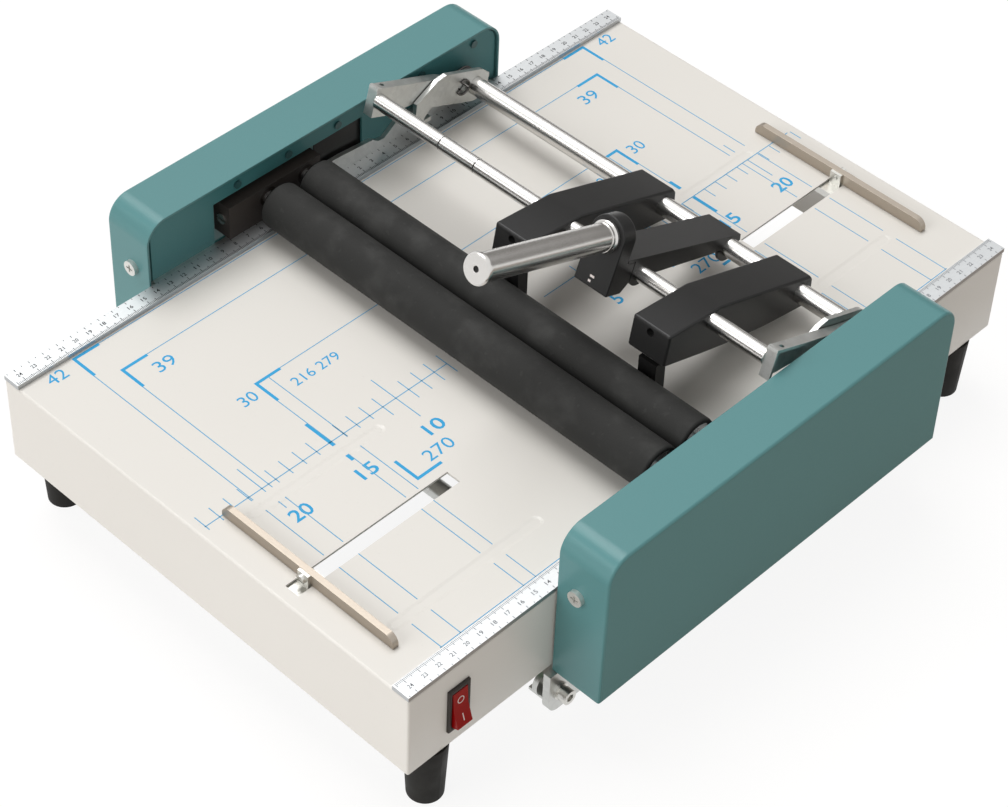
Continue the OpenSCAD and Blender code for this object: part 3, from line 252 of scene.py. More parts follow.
def turned_steel(name, colour, roughness, along):
    """Bright steel with fine lines from turning, grinding or drawing."""
    steel = Finish(name, colour, roughness, metallic=1.0)
    lines = steel.noise(260.0, 3.0, stretch=along)
    cloud = steel.noise(20.0, 2.0)
    steel.set(
        Base_Color=steel.mix(lines, scaled(colour, 0.88), scaled(colour, 1.08)),
        Roughness=lines * 0.08 + cloud * 0.05 + (roughness - 0.06),
    )
    steel.bump(lines, 0.00001)
    return steel.material


def chrome(name, colour, roughness):
    """Bright plating with faint streaks along X and a soft cloud of handling marks."""
    plating = Finish(name, colour, roughness, metallic=1.0)
    streaks = plating.noise(300.0, 2.0, stretch=(0.04, 1.0, 1.0))
    cloud = plating.noise(26.0, 3.0)
    plating.set(
        Base_Color=plating.mix(streaks, scaled(colour, 0.96), scaled(colour, 1.02)),
        Roughness=cloud * 0.1 + (roughness - 0.05),
    )
    plating.bump(cloud, 0.000003)
    return plating.material


def ink(name, colour):
    """Screen-printed ink with a slightly uneven edge and cover."""
    print_ink = Finish(name, colour, 0.6, Specular_IOR_Level=0.15)
    cover = print_ink.noise(700.0, 2.0)
    print_ink.set(Base_Color=print_ink.mix(cover, scaled(colour, 0.93), scaled(colour, 1.08)))
    print_ink.bump(cover, 0.00001)
    return print_ink.material


def screw_zinc(name, colour):
    """Bright zinc on the cover screws, and paint on the rivets, which lie nearer to the middle."""
    zinc = Finish(name, colour, 0.32, metallic=1.0)
    apart = zinc.add("ShaderNodeSeparateXYZ", None, {"Vector": zinc.place})
    from_middle = zinc.sum("ABSOLUTE", apart, 0.0)
    panel_face = PANEL_FACE / 1000
    rivet_paint = (0.03, 0.1, 0.105, 1.0)
    rivet = 1.0 - zinc.step(from_middle, panel_face - 0.0001, panel_face + 0.0001)
    grain = zinc.noise(600.0, 2.0)
    bright = zinc.mix(grain, scaled(colour, 0.9), scaled(colour, 1.08))
    zinc.set(
        Base_Color=zinc.mix(rivet, bright, rivet_paint),
        Metallic=(1.0 - rivet) * 0.65,
        Roughness=grain * 0.1 + 0.26,
    )
    zinc.bump(grain, 0.00001)
    return zinc.material


def circuit_board(name, colour):
    """Green lacquer over copper tracks."""
    board = Finish(name, colour, 0.3)
    tracks = board.add(
        "ShaderNodeTexBrick",
        {"offset": 0.5},
        {"Vector": board.place, "Scale": 120.0, "Mortar Size": 0.05, "Color1": colour,
         "Color2": scaled(colour, 1.3), "Mortar": scaled(colour, 2.2)},
    )
    board.set(Base_Color=tracks)
    board.bump(board.noise(900.0, 2.0), 0.00002)
    return board.material


finishes = {
    "base_paint": powder_coat("base_paint", tone(229, 226, 220), 0.3, 0.000005, 0.03),
    "ruler_steel": turned_steel("ruler_steel", tone(190, 192, 193), 0.42, (14.0, 1.0, 14.0)),
    "foot_rubber": rubber("foot_rubber", tone(34, 33, 31), 0.6, 0.25),
    "zinc_steel": turned_steel("zinc_steel", tone(214, 213, 208), 0.3, (3.0, 3.0, 3.0)),
    "galvanised": sheet_steel("galvanised", tone(205, 206, 203), 0.36, 0.4),
    "cover_paint": powder_coat("cover_paint", tone(86, 139, 141), 0.34, 0.00004, Specular_IOR_Level=0.4),
    "panel_paint": powder_coat("panel_paint", tone(70, 128, 131), 0.36, 0.00004, Specular_IOR_Level=0.3),
    "black_plastic": moulding("black_plastic", tone(62, 57, 54), 0.5, Specular_IOR_Level=0.25),
    "bronze": turned_steel("bronze", tone(52, 46, 41), 0.5, (1.0, 8.0, 8.0)),
    "chrome_rod": chrome("chrome_rod", tone(216, 214, 211), 0.24),
    "black_steel": crackle("black_steel", tone(30, 30, 30), 0.36),
    "spring_steel": turned_steel("spring_steel", tone(96, 94, 92), 0.35, (1.0, 1.0, 1.0)),
    "anvil_steel": turned_steel("anvil_steel", tone(190, 190, 188), 0.3, (1.0, 16.0, 16.0)),
    "motor_grey": moulding("motor_grey", tone(92, 94, 98), 0.45, 700.0),
    "board_green": circuit_board("board_green", tone(30, 96, 54)),
    "roller_steel": turned_steel("roller_steel", tone(186, 186, 186), 0.28, (8.0, 1.0, 1.0)),
    "roller_rubber": rubber("roller_rubber", tone(44, 44, 43), 0.62, 0.55),
    "gear_plastic": moulding("gear_plastic", tone(222, 217, 200), 0.5),
    "blade_steel": turned_steel("blade_steel", tone(212, 213, 214), 0.24, (1.0, 14.0, 14.0)),
    "black_paint": crackle("black_paint", tone(34, 34, 34), 0.32),
    "stop_metal": turned_steel("stop_metal", tone(172, 162, 150), 0.34, (1.0, 16.0, 16.0)),
    "red_plastic": moulding("red_plastic", tone(158, 6, 9), 0.18, 400.0, Specular_IOR_Level=0.3),
}
thick_blue = ink("thick_blue", tone(60, 168, 222))
thin_blue = ink("thin_blue", tone(98, 172, 214))
ruler_black = ink("ruler_black", tone(30, 30, 32))
ruler_grey = ink("ruler_grey", tone(120, 122, 126))
mark_white = ink("mark_white", tone(236, 226, 222))
cover_zinc = screw_zinc("cover_zinc", tone(222, 222, 218))

for node, shown in nodes.items():
    shown.data.materials.clear()
    shown.data.materials.append(cover_zinc if node == "cover_screws" else finishes[slot_of[node]])


def placed(name, shape, material):
    """Makes an object of a bmesh, in its finish."""
    mesh = bpy.data.meshes.new(name)
    shape.to_mesh(mesh)
    shape.free()
    mesh.materials.append(material)
    made = bpy.data.objects.new(name, mesh)
    bpy.context.scene.collection.objects.link(made)
    return made


def piece(name, shape, body, material, slot=None, crease=35):
    """Makes an object of a bmesh, gives it its finish and lets it ride on a body."""
    made = placed(name, shape, material)
    made.data.shade_smooth()
    made.data.set_sharp_from_angle(angle=math.radians(crease))
    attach(made, body)
    return made


EDGE_ANGLE = math.radians(38)
FLAT_ANGLE = math.radians(0.6)
SAME_PLACE = 0.000012


def round_edges(shape, edges, width, segments=3, clamp=True):
    """Bevels these edges by a width in millimetres."""
    bmesh.ops.bevel(
        shape, geom=edges, offset=width / 1000, offset_type="OFFSET", affect="EDGES",
        segments=segments, profile=0.5, material=-1, clamp_overlap=clamp,
    )


def softened(node, *passes, segments=3, flat_faces=True, first=None, clamp=True):
    """A copy of a CAD node that stands for it, rounded by pairs of a width and a choice of edges."""
    shape = bmesh.new()
    shape.from_mesh(nodes[node].data)
    bmesh.ops.remove_doubles(shape, verts=shape.verts, dist=SAME_PLACE)
    if first:
        first(shape)
    if flat_faces:
        bmesh.ops.dissolve_limit(
            shape, angle_limit=FLAT_ANGLE, use_dissolve_boundaries=False,
            verts=shape.verts, edges=shape.edges, delimit={"NORMAL"},
        )
    for width, chosen in passes:
        edges = [
            edge for edge in shape.edges
            if len(edge.link_faces) == 2 and edge.is_convex
            and edge.calc_face_angle() > EDGE_ANGLE
            and chosen(edge.verts[0].co * 1000, edge.verts[1].co * 1000)
        ]
        round_edges(shape, edges, width, segments, clamp)
    made = piece(node + "_dressed", shape, body_of[node], finishes[slot_of[node]], slot_of[node])
    level = made.modifiers.new("level_faces", "WEIGHTED_NORMAL")
    level.keep_sharp = True
    level.weight = 100
    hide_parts(node)


def everywhere(a, b):
    """Chooses every edge."""
    return True


def outside_x(limit):
    """Chooses the edges whose ends both lie farther than this from the middle plane."""
    return lambda a, b: min(abs(a.x), abs(b.x)) > limit


def inside_x(limit):
    """Chooses the edges whose ends both lie nearer than this to the middle plane."""
    return lambda a, b: max(abs(a.x), abs(b.x)) < limit


def block(shape, low, high):
    """Adds a block between two corners, in millimetres."""
    low = Vector(low) / 1000
    high = Vector(high) / 1000
    size = high - low
    place = Matrix.Translation((low + high) / 2) @ Matrix.Diagonal((*size, 1.0))
    bmesh.ops.create_cube(shape, size=1.0, matrix=place)


def curve_mesh(curve):
    """The mesh of a text or a wire, which is itself removed again."""
    carrier = bpy.data.objects.new(curve.name, curve)
    bpy.context.scene.collection.objects.link(carrier)
    bpy.context.view_layer.update()
    mesh = bpy.data.meshes.new_from_object(carrier.evaluated_get(bpy.context.evaluated_depsgraph_get()))
    bpy.data.objects.remove(carrier)
    bpy.data.curves.remove(curve)
    return mesh


READ_FROM_RIGHT = Matrix.Rotation(math.radians(90), 4, "Z")


def numeral(shape, text, centre, span, height, thick=0.05, bold=0.0):
    """Adds a number as thin raised ink, read from the right: its middle, its length and its height."""
    lettering = bpy.data.curves.new("numeral", "FONT")
    lettering.body = text
    lettering.size = 1.0
    lettering.resolution_u = 3
    lettering.extrude = 0.5
    lettering.offset = bold
    mesh = curve_mesh(lettering)
    xs = [vertex.co.x for vertex in mesh.vertices]
    ys = [vertex.co.y for vertex in mesh.vertices]
    middle = Vector(((min(xs) + max(xs)) / 2, (min(ys) + max(ys)) / 2, 0.0))
    along = span / (max(xs) - min(xs)) / 1000
    upward = height / (max(ys) - min(ys)) / 1000
    mesh.transform(
        Matrix.Translation(Vector(centre) / 1000)
        @ READ_FROM_RIGHT
        @ Matrix.Diagonal((along, upward, thick / 1000, 1.0))
        @ Matrix.Translation(-middle)
    )
    shape.from_mesh(mesh)
    bpy.data.meshes.remove(mesh)


# Rounded folds of the sheet parts

GROOVE_FLOOR = 101.5
GROOVE_PITCH = 54.0
GROOVE_REACH = 2.6
GROOVE_SPREAD = 2.0
GROOVE_SINK = 0.26
grooves = [
    (slot_x + shift, y0, y1)
    for slot_x, y0, runs in ((65.4, -216.0, (-124.0, -111.0)), (50.5, 146.0, (204.0, 204.0)))
    for shift, y1 in zip((-GROOVE_PITCH, GROOVE_PITCH), runs)
]


def press_grooves(shape):
    """Spreads the rims of the pressed grooves and rounds their flanks."""
    rims = []
    for vertex in shape.verts:
        place = vertex.co * 1000
        for x, y0, y1 in grooves:
            inside = abs(place.x - x) < GROOVE_REACH and y0 - 4 < place.y < y1 + 4
            if not inside or place.z < GROOVE_FLOOR - 0.05:
                continue
            rims.append(vertex)
            if place.z > TABLE - 0.1:
                end = min(max(place.y, y0), y1)
                vertex.co.x = (x + (place.x - x) * GROOVE_SPREAD) / 1000
                vertex.co.y = (end + (place.y - end) * GROOVE_SPREAD) / 1000
            else:
                vertex.co.z = (TABLE - GROOVE_SINK) / 1000
    edges = [
        edge for edge in shape.edges
        if edge.verts[0] in rims and edge.verts[1] in rims
        and abs(edge.verts[0].co.z - edge.verts[1].co.z) < 0.00001
        and edge.calc_face_angle(0.0) > math.radians(4)
    ]
    round_edges(shape, edges, 0.9)


def base_folds(a, b):
    """Chooses the folds around the table top and down the corners of the base."""
    on_top = min(a.z, b.z) > TABLE - 0.1
    at_side = min(abs(a.x), abs(b.x)) > SIDE - 0.1
    at_end = min(abs(a.y), abs(b.y)) > END - 0.1
    return on_top and (at_side or at_end) or at_side and at_end


softened("base_shell", (1.6, base_folds), flat_faces=False, first=press_grooves)
for side in ("left", "right"):
    softened(side + "_cover", (1.8, outside_x(COVER_OUTSIDE - 0.1)), (0.3, inside_x(COVER_OUTSIDE - 2.0)))
    softened(side + "_roller_block", (1.0, everywhere))

# Rollers with rounded shoulders


def around_axis(a, b):
    """Chooses the edges that run around a roller, and not along it."""
    return math.hypot(a.y - b.y, a.z - b.z) > 0.2


for roller in ("front", "rear"):
    softened(roller + "_roller_sleeve", (2.2, around_axis), flat_faces=False)

# Stapler heads with soft upper edges, and the black fittings of the handle

HEAD_HALF = 13.5
HEAD_SKIRT = 113.0
ROD_BORE = 5.9
SHAFT_BORE = 7.5


def away_from(point, axis):
    """Distance of a point from an axis along X."""
    return math.hypot(point.y - axis[0], point.z - axis[1])


def head_outline(middle):
    """Chooses the edges of a head's side faces that lie on its outline, away from its bores."""

    def chosen(a, b):
        between = (a + b) / 2
        in_bore = away_from(between, ROD_AXIS) < ROD_BORE or away_from(between, SHAFT_AXIS) < SHAFT_BORE
        outer = min(abs(a.x - middle), abs(b.x - middle)) > HEAD_HALF - 0.1
        return outer and min(a.z, b.z) > HEAD_SKIRT and not in_bore and (a - b).length > 1.2

    return chosen


for side, middle in HEAD_MIDDLES.items():
    softened(side + "_head", (1.5, head_outline(middle)), segments=4, clamp=False)
softened("handle_bracket", (0.9, everywhere))
softened("handle_channel", (0.7, lambda a, b: min(a.z, b.z) > 125))
softened("near_stop_bar", (0.6, everywhere))
softened("far_stop_bar", (0.6, everywhere))
softened("switch_bezel", (0.7, lambda a, b: min(a.x, b.x) > SIDE + 1.5))
softened("rocker", (0.7, lambda a, b: min(a.x, b.x) > SIDE + 0.5))

# Table printing: marks of the sheet sizes and a centimetre scale

INK = (TABLE - 0.02, TABLE + 0.05)
LEG = 19.0
LEG_WIDTH = 2.0
LINES_END = 146.8
LINE_WIDTH = 0.55
FIGURE_HEIGHT = 9.4
near_gaps = [(3.4, 13.4), (58.6, 70.4), (114.8, 124.8)]
far_gaps = [(-10.5, 0.0), (43.5, 57.5), (99.0, 109.0)]
halves = ((-1, near_gaps), (1, far_gaps))


def dash(shape, x0, x1, y0, y1):
    """A strip of ink on the table."""
    block(shape, (min(x0, x1), min(y0, y1), INK[0]), (max(x0, x1), max(y0, y1), INK[1]))


def cross_line(shape, x0, x1, y, width, gaps):
    """A line across the table, left out where it meets a slot or a groove."""
    start = x0
    for low, high in gaps:
        if high <= start or low >= x1:
            continue
        if low > start:
            dash(shape, start, low, y - width / 2, y + width / 2)
        start = high
    if start < x1:
        dash(shape, start, x1, y - width / 2, y + width / 2)


def long_line(shape, x, y0, y1):
    """A line from near to far, left out over the slot of the fold blade."""
    dash(shape, x, x + LINE_WIDTH, y0, FOLD_SLOT[0])
    dash(shape, x, x + LINE_WIDTH, FOLD_SLOT[1], y1)


def bracket(shape, x, y, leg_x, leg_y):
    """A thick corner mark with one leg along each axis."""
    inner_x = x + math.copysign(LEG_WIDTH, leg_x)
    inner_y = y + math.copysign(LEG_WIDTH, leg_y)
    dash(shape, x, x + leg_x, y, inner_y)
    dash(shape, x, inner_x, inner_y, y + leg_y)


thick = bmesh.new()
thin = bmesh.new()
for x, y in ((-148.0, 209.5), (-122.6, 195.6), (-62.8, 149.2)):
    for sign, gaps in halves:
        bracket(thick, x, sign * y, LEG, -sign * LEG)
        cross_line(thin, x + LEG, LINES_END, sign * (y - 0.4), LINE_WIDTH, gaps)
    long_line(thin, x + 0.2, -y + LEG, y - LEG)
for sign, gaps in halves:
    bracket(thick, 54.0, sign * 135.4, -LEG, -sign * LEG)
    cross_line(thin, -60.6, LINES_END, sign * 139.7, LINE_WIDTH, gaps)
long_line(thin, LINES_END - LINE_WIDTH, -210.0, 210.0)

for centimetre in range(5, 25):
    reach = (8.8, 8.8, 0.6)
    if centimetre % 10 == 0:
        reach = (19.8, 19.8, 0.6)
    if centimetre == 15:
        reach = (19.4, 18.6, 1.9)
    to_left, to_right, width = reach
    for sign, gaps in halves:
        cross_line(
            thick if centimetre == 15 else thin, -to_left, to_right, sign * 10.0 * centimetre, width,
            gaps if centimetre > 11 else [],
        )
dash(thin, -0.1, 0.5, -240.6, -60.0)
dash(thin, -0.8, -0.2, 20.0, 238.0)

for number, x, y, span in (
    ("20", 27.6, -196.6, 13.6), ("15", 29.6, -149.8, 12.2), ("10", 30.3, -99.8, 12.8),
    ("5", 29.5, 49.5, 5.6), ("10", 29.5, 99.8, 12.8), ("15", 29.5, 149.8, 12.4), ("20", 29.5, 198.0, 13.6),
):
    numeral(thick, number, (x, y, TABLE + 0.01), span, FIGURE_HEIGHT, bold=0.014)
for sign in (-1, 1):
    for number, x, y, span, height in (
        ("42", -142.5, 224.5, 12.4, 8.4), ("39", -109.6, 174.0, 13.4, 9.0), ("30", -56.0, 159.5, 11.2, 8.4),
        ("216 279", -48.0, 116.0, 34.0, 7.0), ("270", 44.7, 110.5, 20.0, 8.6),
    ):
        numeral(thick, number, (x, sign * y, TABLE + 0.01), span, height)
piece("sheet_marks", thick, "chassis", thick_blue)
piece("sheet_lines", thin, "chassis", thin_blue)

# Rulers: millimetre ticks from the middle outwards, with the centimetres in figures

RULER_EDGES = (149.0, SIDE)
RULER_MIDDLE = 155.6
TICK_INSET = 0.3


def tick(shape, x0, x1, y, width):
    """A thin raised stroke across a ruler."""
    low_x, high_x = sorted((x0, x1))
    block(shape, (low_x, y - width / 2, RULER - 0.02), (high_x, y + width / 2, RULER + 0.02))


for side, side_name, print_finish in ((-1, "left", ruler_black), (1, "right", ruler_grey)):
    ticks = bmesh.new()
    inner, outer = (side * edge for edge in RULER_EDGES)
    for step in range(-245, 246):
        whole = step % 10 == 0
        half = step % 5 == 0
        length = 3.4 if whole else 2.6 if half else 1.7
        width = 0.42 if half else 0.34
        tick(ticks, inner + side * TICK_INSET, inner + side * (TICK_INSET + length), step, width)
        if half:
            tick(ticks, outer - side * TICK_INSET, outer - side * (2.0 if whole else 1.2), step, width)
    for centimetre in range(-24, 25):
        text = str(abs(centimetre))
        numeral(
            ticks, text, (side * RULER_MIDDLE, 10.0 * centimetre, RULER + 0.005),
            1.55 * len(text) + 0.2, 2.7, thick=0.02, bold=0.012,
        )
    piece(side_name + "_ruler_print", ticks, "chassis", print_finish)

# Off and on marks on the rocker

ROCKER_CREST = (163.7, -211.0, 70.5)


def on_rocker(along, tilt):
    """Place on one of the rocker's two faces, this far from its axis."""
    tilt = math.radians(tilt)
    normal = Vector((math.cos(tilt), 0.0, math.sin(tilt)))
    up = Vector((-math.sin(tilt), 0.0, math.cos(tilt)))
    right = Vector((0.0, 1.0, 0.0))
    base = Vector(ROCKER_CREST) + up * along
    turn = Matrix((right, up, normal)).transposed().to_4x4()
    return Matrix.Translation(base / 1000) @ turn


upper_face = on_rocker(6.0, 3.4)
lower_face = on_rocker(-6.2, 17.5)
marks = bmesh.new()
rings = []
for radius in (0.0024, 0.0019):
    rings += bmesh.ops.create_circle(marks, segments=40, radius=radius, matrix=upper_face)["verts"]
ring_edges = list({edge for vertex in rings for edge in vertex.link_edges})
flat = bmesh.ops.bridge_loops(marks, edges=ring_edges)["faces"]
raised = bmesh.ops.extrude_face_region(marks, geom=flat)["geom"]
bmesh.ops.translate(
    marks, verts=[part for part in raised if isinstance(part, bmesh.types.BMVert)],
    vec=upper_face.to_3x3() @ Vector((0, 0, 0.00008)),
)
stroke = Matrix.Diagonal((0.0006, 0.0048, 0.00016, 1.0))
bmesh.ops.create_cube(marks, size=1.0, matrix=lower_face @ stroke)
bmesh.ops.recalc_face_normals(marks, faces=marks.faces)
piece("rocker_marks", marks, "power_rocker", mark_white)

# Turned rods, and the handle with its collar and cap


def along_x(axis):
    """The place of a turned body whose axis runs along X."""
    start = Matrix.Translation((0.0, axis[0] / 1000, axis[1] / 1000))
    return start @ Matrix.Rotation(math.radians(-90), 4, "Z")


HANDLE = Matrix.Translation((0.046, 0.017, 0.1802)) @ Matrix.Rotation(math.radians(-21), 4, "X")
ROD = along_x(ROD_AXIS)
SHAFT = along_x(SHAFT_AXIS)
ROD_GROOVES = (-97.7, -69.1)


def turned(place, profile, steps=72):
    """A closed turned body along +Y, then put in its place: pairs of distance and radius in millimetres."""
    shape = bmesh.new()
    points = [shape.verts.new((0.0, along / 1000, radius / 1000)) for along, radius in profile]
    ends = zip(points, points[1:] + points[:1])
    edges = [shape.edges.new(pair) for pair in ends]
    bmesh.ops.spin(
        shape, geom=points + edges, cent=(0, 0, 0), axis=(0, 1, 0), dvec=(0, 0, 0),
        angle=math.tau, steps=steps, use_merge=True, use_duplicate=False,
    )
    bmesh.ops.remove_doubles(shape, verts=shape.verts, dist=0.000002)
    bmesh.ops.recalc_face_normals(shape, faces=shape.faces)
    shape.transform(place)
    return shape


def mirrored(profile):
    """A profile for one half, with its other half added."""
    return [(-along, radius) for along, radius in reversed(profile)] + profile


rod_profile = [(-154.4, 0.0), (-154.4, 3.0), (-152.5, 3.0), (-152.5, 4.7), (-152.2, 5.0)]
for groove in ROD_GROOVES:
    rod_profile += [(groove - 0.45, 5.0), (groove - 0.3, 4.7), (groove + 0.3, 4.7), (groove + 0.45, 5.0)]
rod_profile += [(152.2, 5.0), (152.5, 4.7), (152.5, 3.0), (154.4, 3.0), (154.4, 0.0)]
shaft_profile = [(157.5, 6.0), (158.0, 5.5), (158.0, 0.0)]
bar_profile = [
    (-108.0, 0.0), (-108.0, 8.25), (-5.4, 8.25), (-5.4, 8.5), (-5.0, 8.8), (-3.4, 8.8), (-3.1, 9.2),
    (-2.4, 9.7), (-0.5, 9.7), (0.0, 9.3), (0.0, 4.0), (6.5, 4.0), (6.5, 0.0),
]
cap_profile = [
    (-108.0, 0.0), (-108.0, 8.9), (-108.4, 9.25), (-110.6, 9.25), (-111.1, 9.0), (-111.6, 8.4),
    (-111.6, 2.2), (-111.3, 1.8), (-109.2, 1.8), (-109.2, 0.0),
]
CHROME = (finishes["chrome_rod"], "chrome_rod")
BLACK_STEEL = (finishes["black_steel"], "black_steel")
for node, place, profile in (
    ("front_rod", ROD, rod_profile), ("rear_shaft", SHAFT, mirrored(shaft_profile)),
    ("handle_bar", HANDLE, bar_profile), ("handle_cap", HANDLE, cap_profile),
):
    turned_piece = piece(node + "_dressed", turned(place, profile), body_of[node], *CHROME, crease=30)
    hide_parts(node)
# A black disc set deep in the handle cap's hole, painted shade in the hole
cap_hole_shade = turned(HANDLE, [(-110.4, 0.0), (-110.4, 1.2), (-110.1, 1.7), (-109.3, 1.7), (-109.3, 0.0)], 24)
piece("cap_hole_shade", cap_hole_shade, "swing_frame", *BLACK_STEEL)
# Two small white blocks on the front of the handle bracket, painted glints
glints = bmesh.new()
for x, z, half in ((-1.6, -29.4, 0.9), (-0.6, -26.2, 1.5)):
    block(glints, (x - half, -0.1, z - 0.7), (x + half, 0.02, z + 0.7))
glints.transform(HANDLE)
piece("bracket_glints", glints, "swing_frame", mark_white)

# Black rings in the two grooves of the front rod, painted shade in the grooves

for number, x in enumerate(ROD_GROOVES):
    ring = turned(ROD, [(x - 0.3, 4.5), (x - 0.3, 4.85), (x + 0.3, 4.85), (x + 0.3, 4.5)])
    piece(f"rod_groove_shade_{number + 1}", ring, "swing_frame", *BLACK_STEEL)

# Black sheets behind the openings of the inner panels, painted shade where the space behind the openings is
# dark

shade_sheets = bmesh.new()
for side in (-1, 1):
    low_x, high_x = sorted((side * 166.0, side * 166.8))
    block(shade_sheets, (low_x, -7.4, 104.0), (high_x, 42.0, 137.0))
round_edges(shade_sheets, shade_sheets.edges[:], 0.25, segments=2, clamp=False)
piece("panel_shade_sheets", shade_sheets, "chassis", *BLACK_STEEL)

# Torsion springs in smooth wire, on the same route as the solid ones

WIRE_RADIUS = 0.7
HOOK = (101.2, 126.8)
HOOK_X = 148.391
HOOK_RADIUS = 5.0
COIL_X = 157.0
COIL_RADIUS = 7.3
COIL_LENGTH = 3.25
COIL_END = 810
COIL_STEPS = 78


def around(centre, radius, degrees):
    """A point on a circle in the plane from front to back."""
    turn = math.radians(degrees)
    return (centre[0] + radius * math.cos(turn), centre[1] + radius * math.sin(turn))


def spring_route():
    """Points of the right spring's wire, in millimetres."""
    through = around(HOOK, 2.6, 200)
    tip = around(HOOK, HOOK_RADIUS, 110)
    points = [(HOOK_X - 5, tip[0] + 1, tip[1] - 1)]
    points += [(HOOK_X, *around(HOOK, HOOK_RADIUS, degrees)) for degrees in range(110, -161, -15)]
    points += [(HOOK_X, *through), (COIL_X - 0.25, *through)]
    come = (through[0] - SHAFT_AXIS[0], through[1] - SHAFT_AXIS[1])
    lead = math.acos(COIL_RADIUS / math.hypot(*come))
    start = math.degrees(math.atan2(come[1], come[0]) + lead)
    for count in range(COIL_STEPS + 1):
        part = count / COIL_STEPS
        points.append((COIL_X + COIL_LENGTH * part,
                       *around(SHAFT_AXIS, COIL_RADIUS, start + (COIL_END - start) * part)))
    points.append((COIL_X, SHAFT_AXIS[0] - 22.5, SHAFT_AXIS[1] + 9.9))
    return points


springs = bmesh.new()
for side in (-1, 1):
    route = bpy.data.curves.new("spring_route", "CURVE")
    route.dimensions = "3D"
    route.bevel_depth = WIRE_RADIUS / 1000
    route.bevel_resolution = 3
    route.use_fill_caps = True
    wire_line = route.splines.new("POLY")
    points = spring_route()
    wire_line.points.add(len(points) - 1)
    for point, (x, y, z) in zip(wire_line.points, points):
        point.co = (side * x / 1000, y / 1000, z / 1000, 1.0)
    mesh = curve_mesh(route)
    springs.from_mesh(mesh)
    bpy.data.meshes.remove(mesh)
bmesh.ops.remove_doubles(springs, verts=springs.verts, dist=0.000005)
bmesh.ops.recalc_face_normals(springs, faces=springs.faces)
spring_piece = piece(
    "torsion_springs_dressed", springs, "chassis", finishes["spring_steel"], "spring_steel", crease=50,
)
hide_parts("torsion_springs")

# Studio: floor, world, lamps, and glowing cards that paint dark reflections

ground = Finish("floor", FLOOR_GREY, 0.9)
glow = ground.add("ShaderNodeEmission", None, {"Color": WHITE, "Strength": 1.06})
paint = Wire(ground, ground.shader.outputs[0])
share = ground.white_rays() * 0.72 + 0.12
ground.feed(ground.surface, ground.add("ShaderNodeMixShader", None, {0: share, 1: paint, 2: glow}))
floor_shape = bmesh.new()
bmesh.ops.create_grid(floor_shape, x_segments=1, y_segments=1, size=6.0)
placed("floor", floor_shape, ground.material)

world = bpy.data.worlds.new("studio")
world.use_nodes = True
bpy.context.scene.world = world
world.node_tree.nodes.remove(world.node_tree.nodes["Background"])
studio = Graph(world.node_tree, "World Output")
soft = studio.add("ShaderNodeBackground", None, {"Color": WARM_WHITE, "Strength": 0.33})
white = studio.add("ShaderNodeBackground", None, {"Color": WHITE, "Strength": 1.0})
light = studio.add("ShaderNodeMixShader", None, {0: studio.white_rays(), 1: soft, 2: white})
studio.feed(studio.surface, light)


def sun(name, direction, strength, angle):
    """A soft sun that shines from this direction."""
    lamp = bpy.data.lights.new(name, "SUN")
    lamp.energy = strength
    lamp.angle = math.radians(angle)
    holder = bpy.data.objects.new(name, lamp)
    holder.rotation_euler = Vector(direction).to_track_quat("Z", "Y").to_euler()
    bpy.context.scene.collection.objects.link(holder)


sun("key", (-0.42, 0.1, 1.0), 1.8, 40)
sun("front_fill", (-0.35, -1.0, 0.45), 1.3, 50)


MACHINE_MIDDLE = Vector((0.0, 0.0, 0.12))


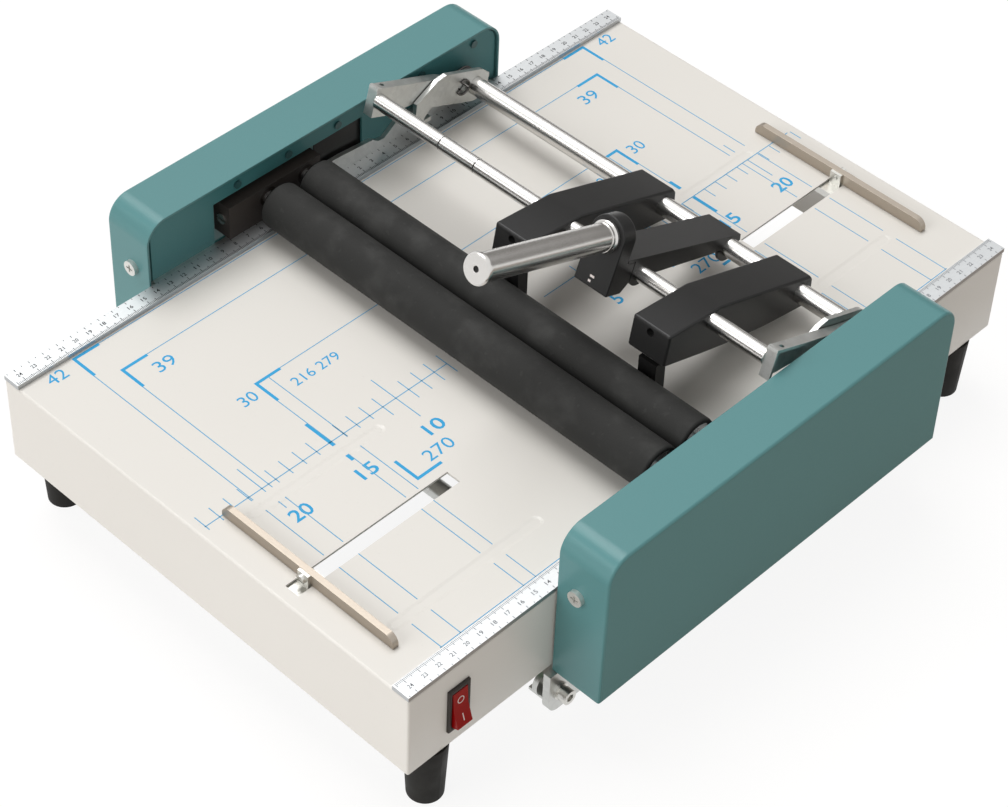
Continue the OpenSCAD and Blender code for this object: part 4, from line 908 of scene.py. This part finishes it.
def dark_card(name, middle, size, tint, flat=False):
    """A glowing grey card, standing or flat on the floor, that only shows in reflections, as a painted dark
    reflection on shiny surfaces.
    """
    shape = bmesh.new()
    bmesh.ops.create_grid(shape, x_segments=1, y_segments=1, size=0.5)
    facing = Vector((0.0, 0.0, 1.0)) if flat else MACHINE_MIDDLE - Vector(middle)
    lean = facing.to_track_quat("Z", "Y").to_matrix().to_4x4()
    bmesh.ops.transform(
        shape, verts=shape.verts,
        matrix=Matrix.Translation(middle) @ lean @ Matrix.Diagonal((*size, 1.0, 1.0)),
    )
    grey = Finish(name, BLACK, 1.0)
    glowing = grey.add("ShaderNodeEmission", None, {"Color": (*tint, 1.0), "Strength": 1.0})
    grey.feed(grey.surface, glowing)
    card = placed(name, shape, grey.material)
    card.visible_camera = False
    card.visible_diffuse = False
    card.visible_shadow = False
    card.visible_transmission = False


dark_card("card_front", (-1.5, -2.5, 0.9), (2.6, 1.5), (0.16, 0.15, 0.14))
dark_card("card_back", (-0.4, 3.0, 0.8), (6.0, 1.6), (0.24, 0.23, 0.22))
dark_card("card_floor", (0.72, 0.3, 0.004), (1.05, 1.5), (0.34, 0.27, 0.22), flat=True)

# Camera of the photograph: lengths in its pixels, and where its axis meets the picture

PHOTO_WIDTH = 1008
PHOTO_HEIGHT = 807
FOCAL_LENGTH = 2848.0
AXIS_ACROSS = 524.9
AXIS_DOWN = 349.1
CAMERA_PLACE = (0.8092, -0.8892, 1.2149)
AZIMUTH = math.radians(42.14)
ELEVATION = math.radians(43.50)
ROLL = math.radians(2.84)
back = Vector((math.sin(AZIMUTH) * math.cos(ELEVATION), -math.cos(AZIMUTH) * math.cos(ELEVATION),
               math.sin(ELEVATION)))
level = Vector((math.cos(AZIMUTH), math.sin(AZIMUTH), 0.0))
over = back.cross(level)
right = level * math.cos(ROLL) + over * math.sin(ROLL)
up = over * math.cos(ROLL) - level * math.sin(ROLL)
camera = bpy.data.cameras.new("camera")
camera.sensor_width = 36.0
camera.lens = FOCAL_LENGTH / PHOTO_WIDTH * camera.sensor_width
camera.shift_x = -(AXIS_ACROSS - PHOTO_WIDTH / 2) / PHOTO_WIDTH
camera.shift_y = (AXIS_DOWN - PHOTO_HEIGHT / 2) / PHOTO_WIDTH
camera.clip_start = 0.05
camera.clip_end = 50.0
camera_object = bpy.data.objects.new("camera", camera)
camera_object.matrix_world = (
    Matrix.Translation(CAMERA_PLACE) @ Matrix((right, up, back)).transposed().to_4x4()
)
bpy.context.scene.collection.objects.link(camera_object)
bpy.context.scene.camera = camera_object
bpy.context.scene.view_settings.view_transform = "Standard"
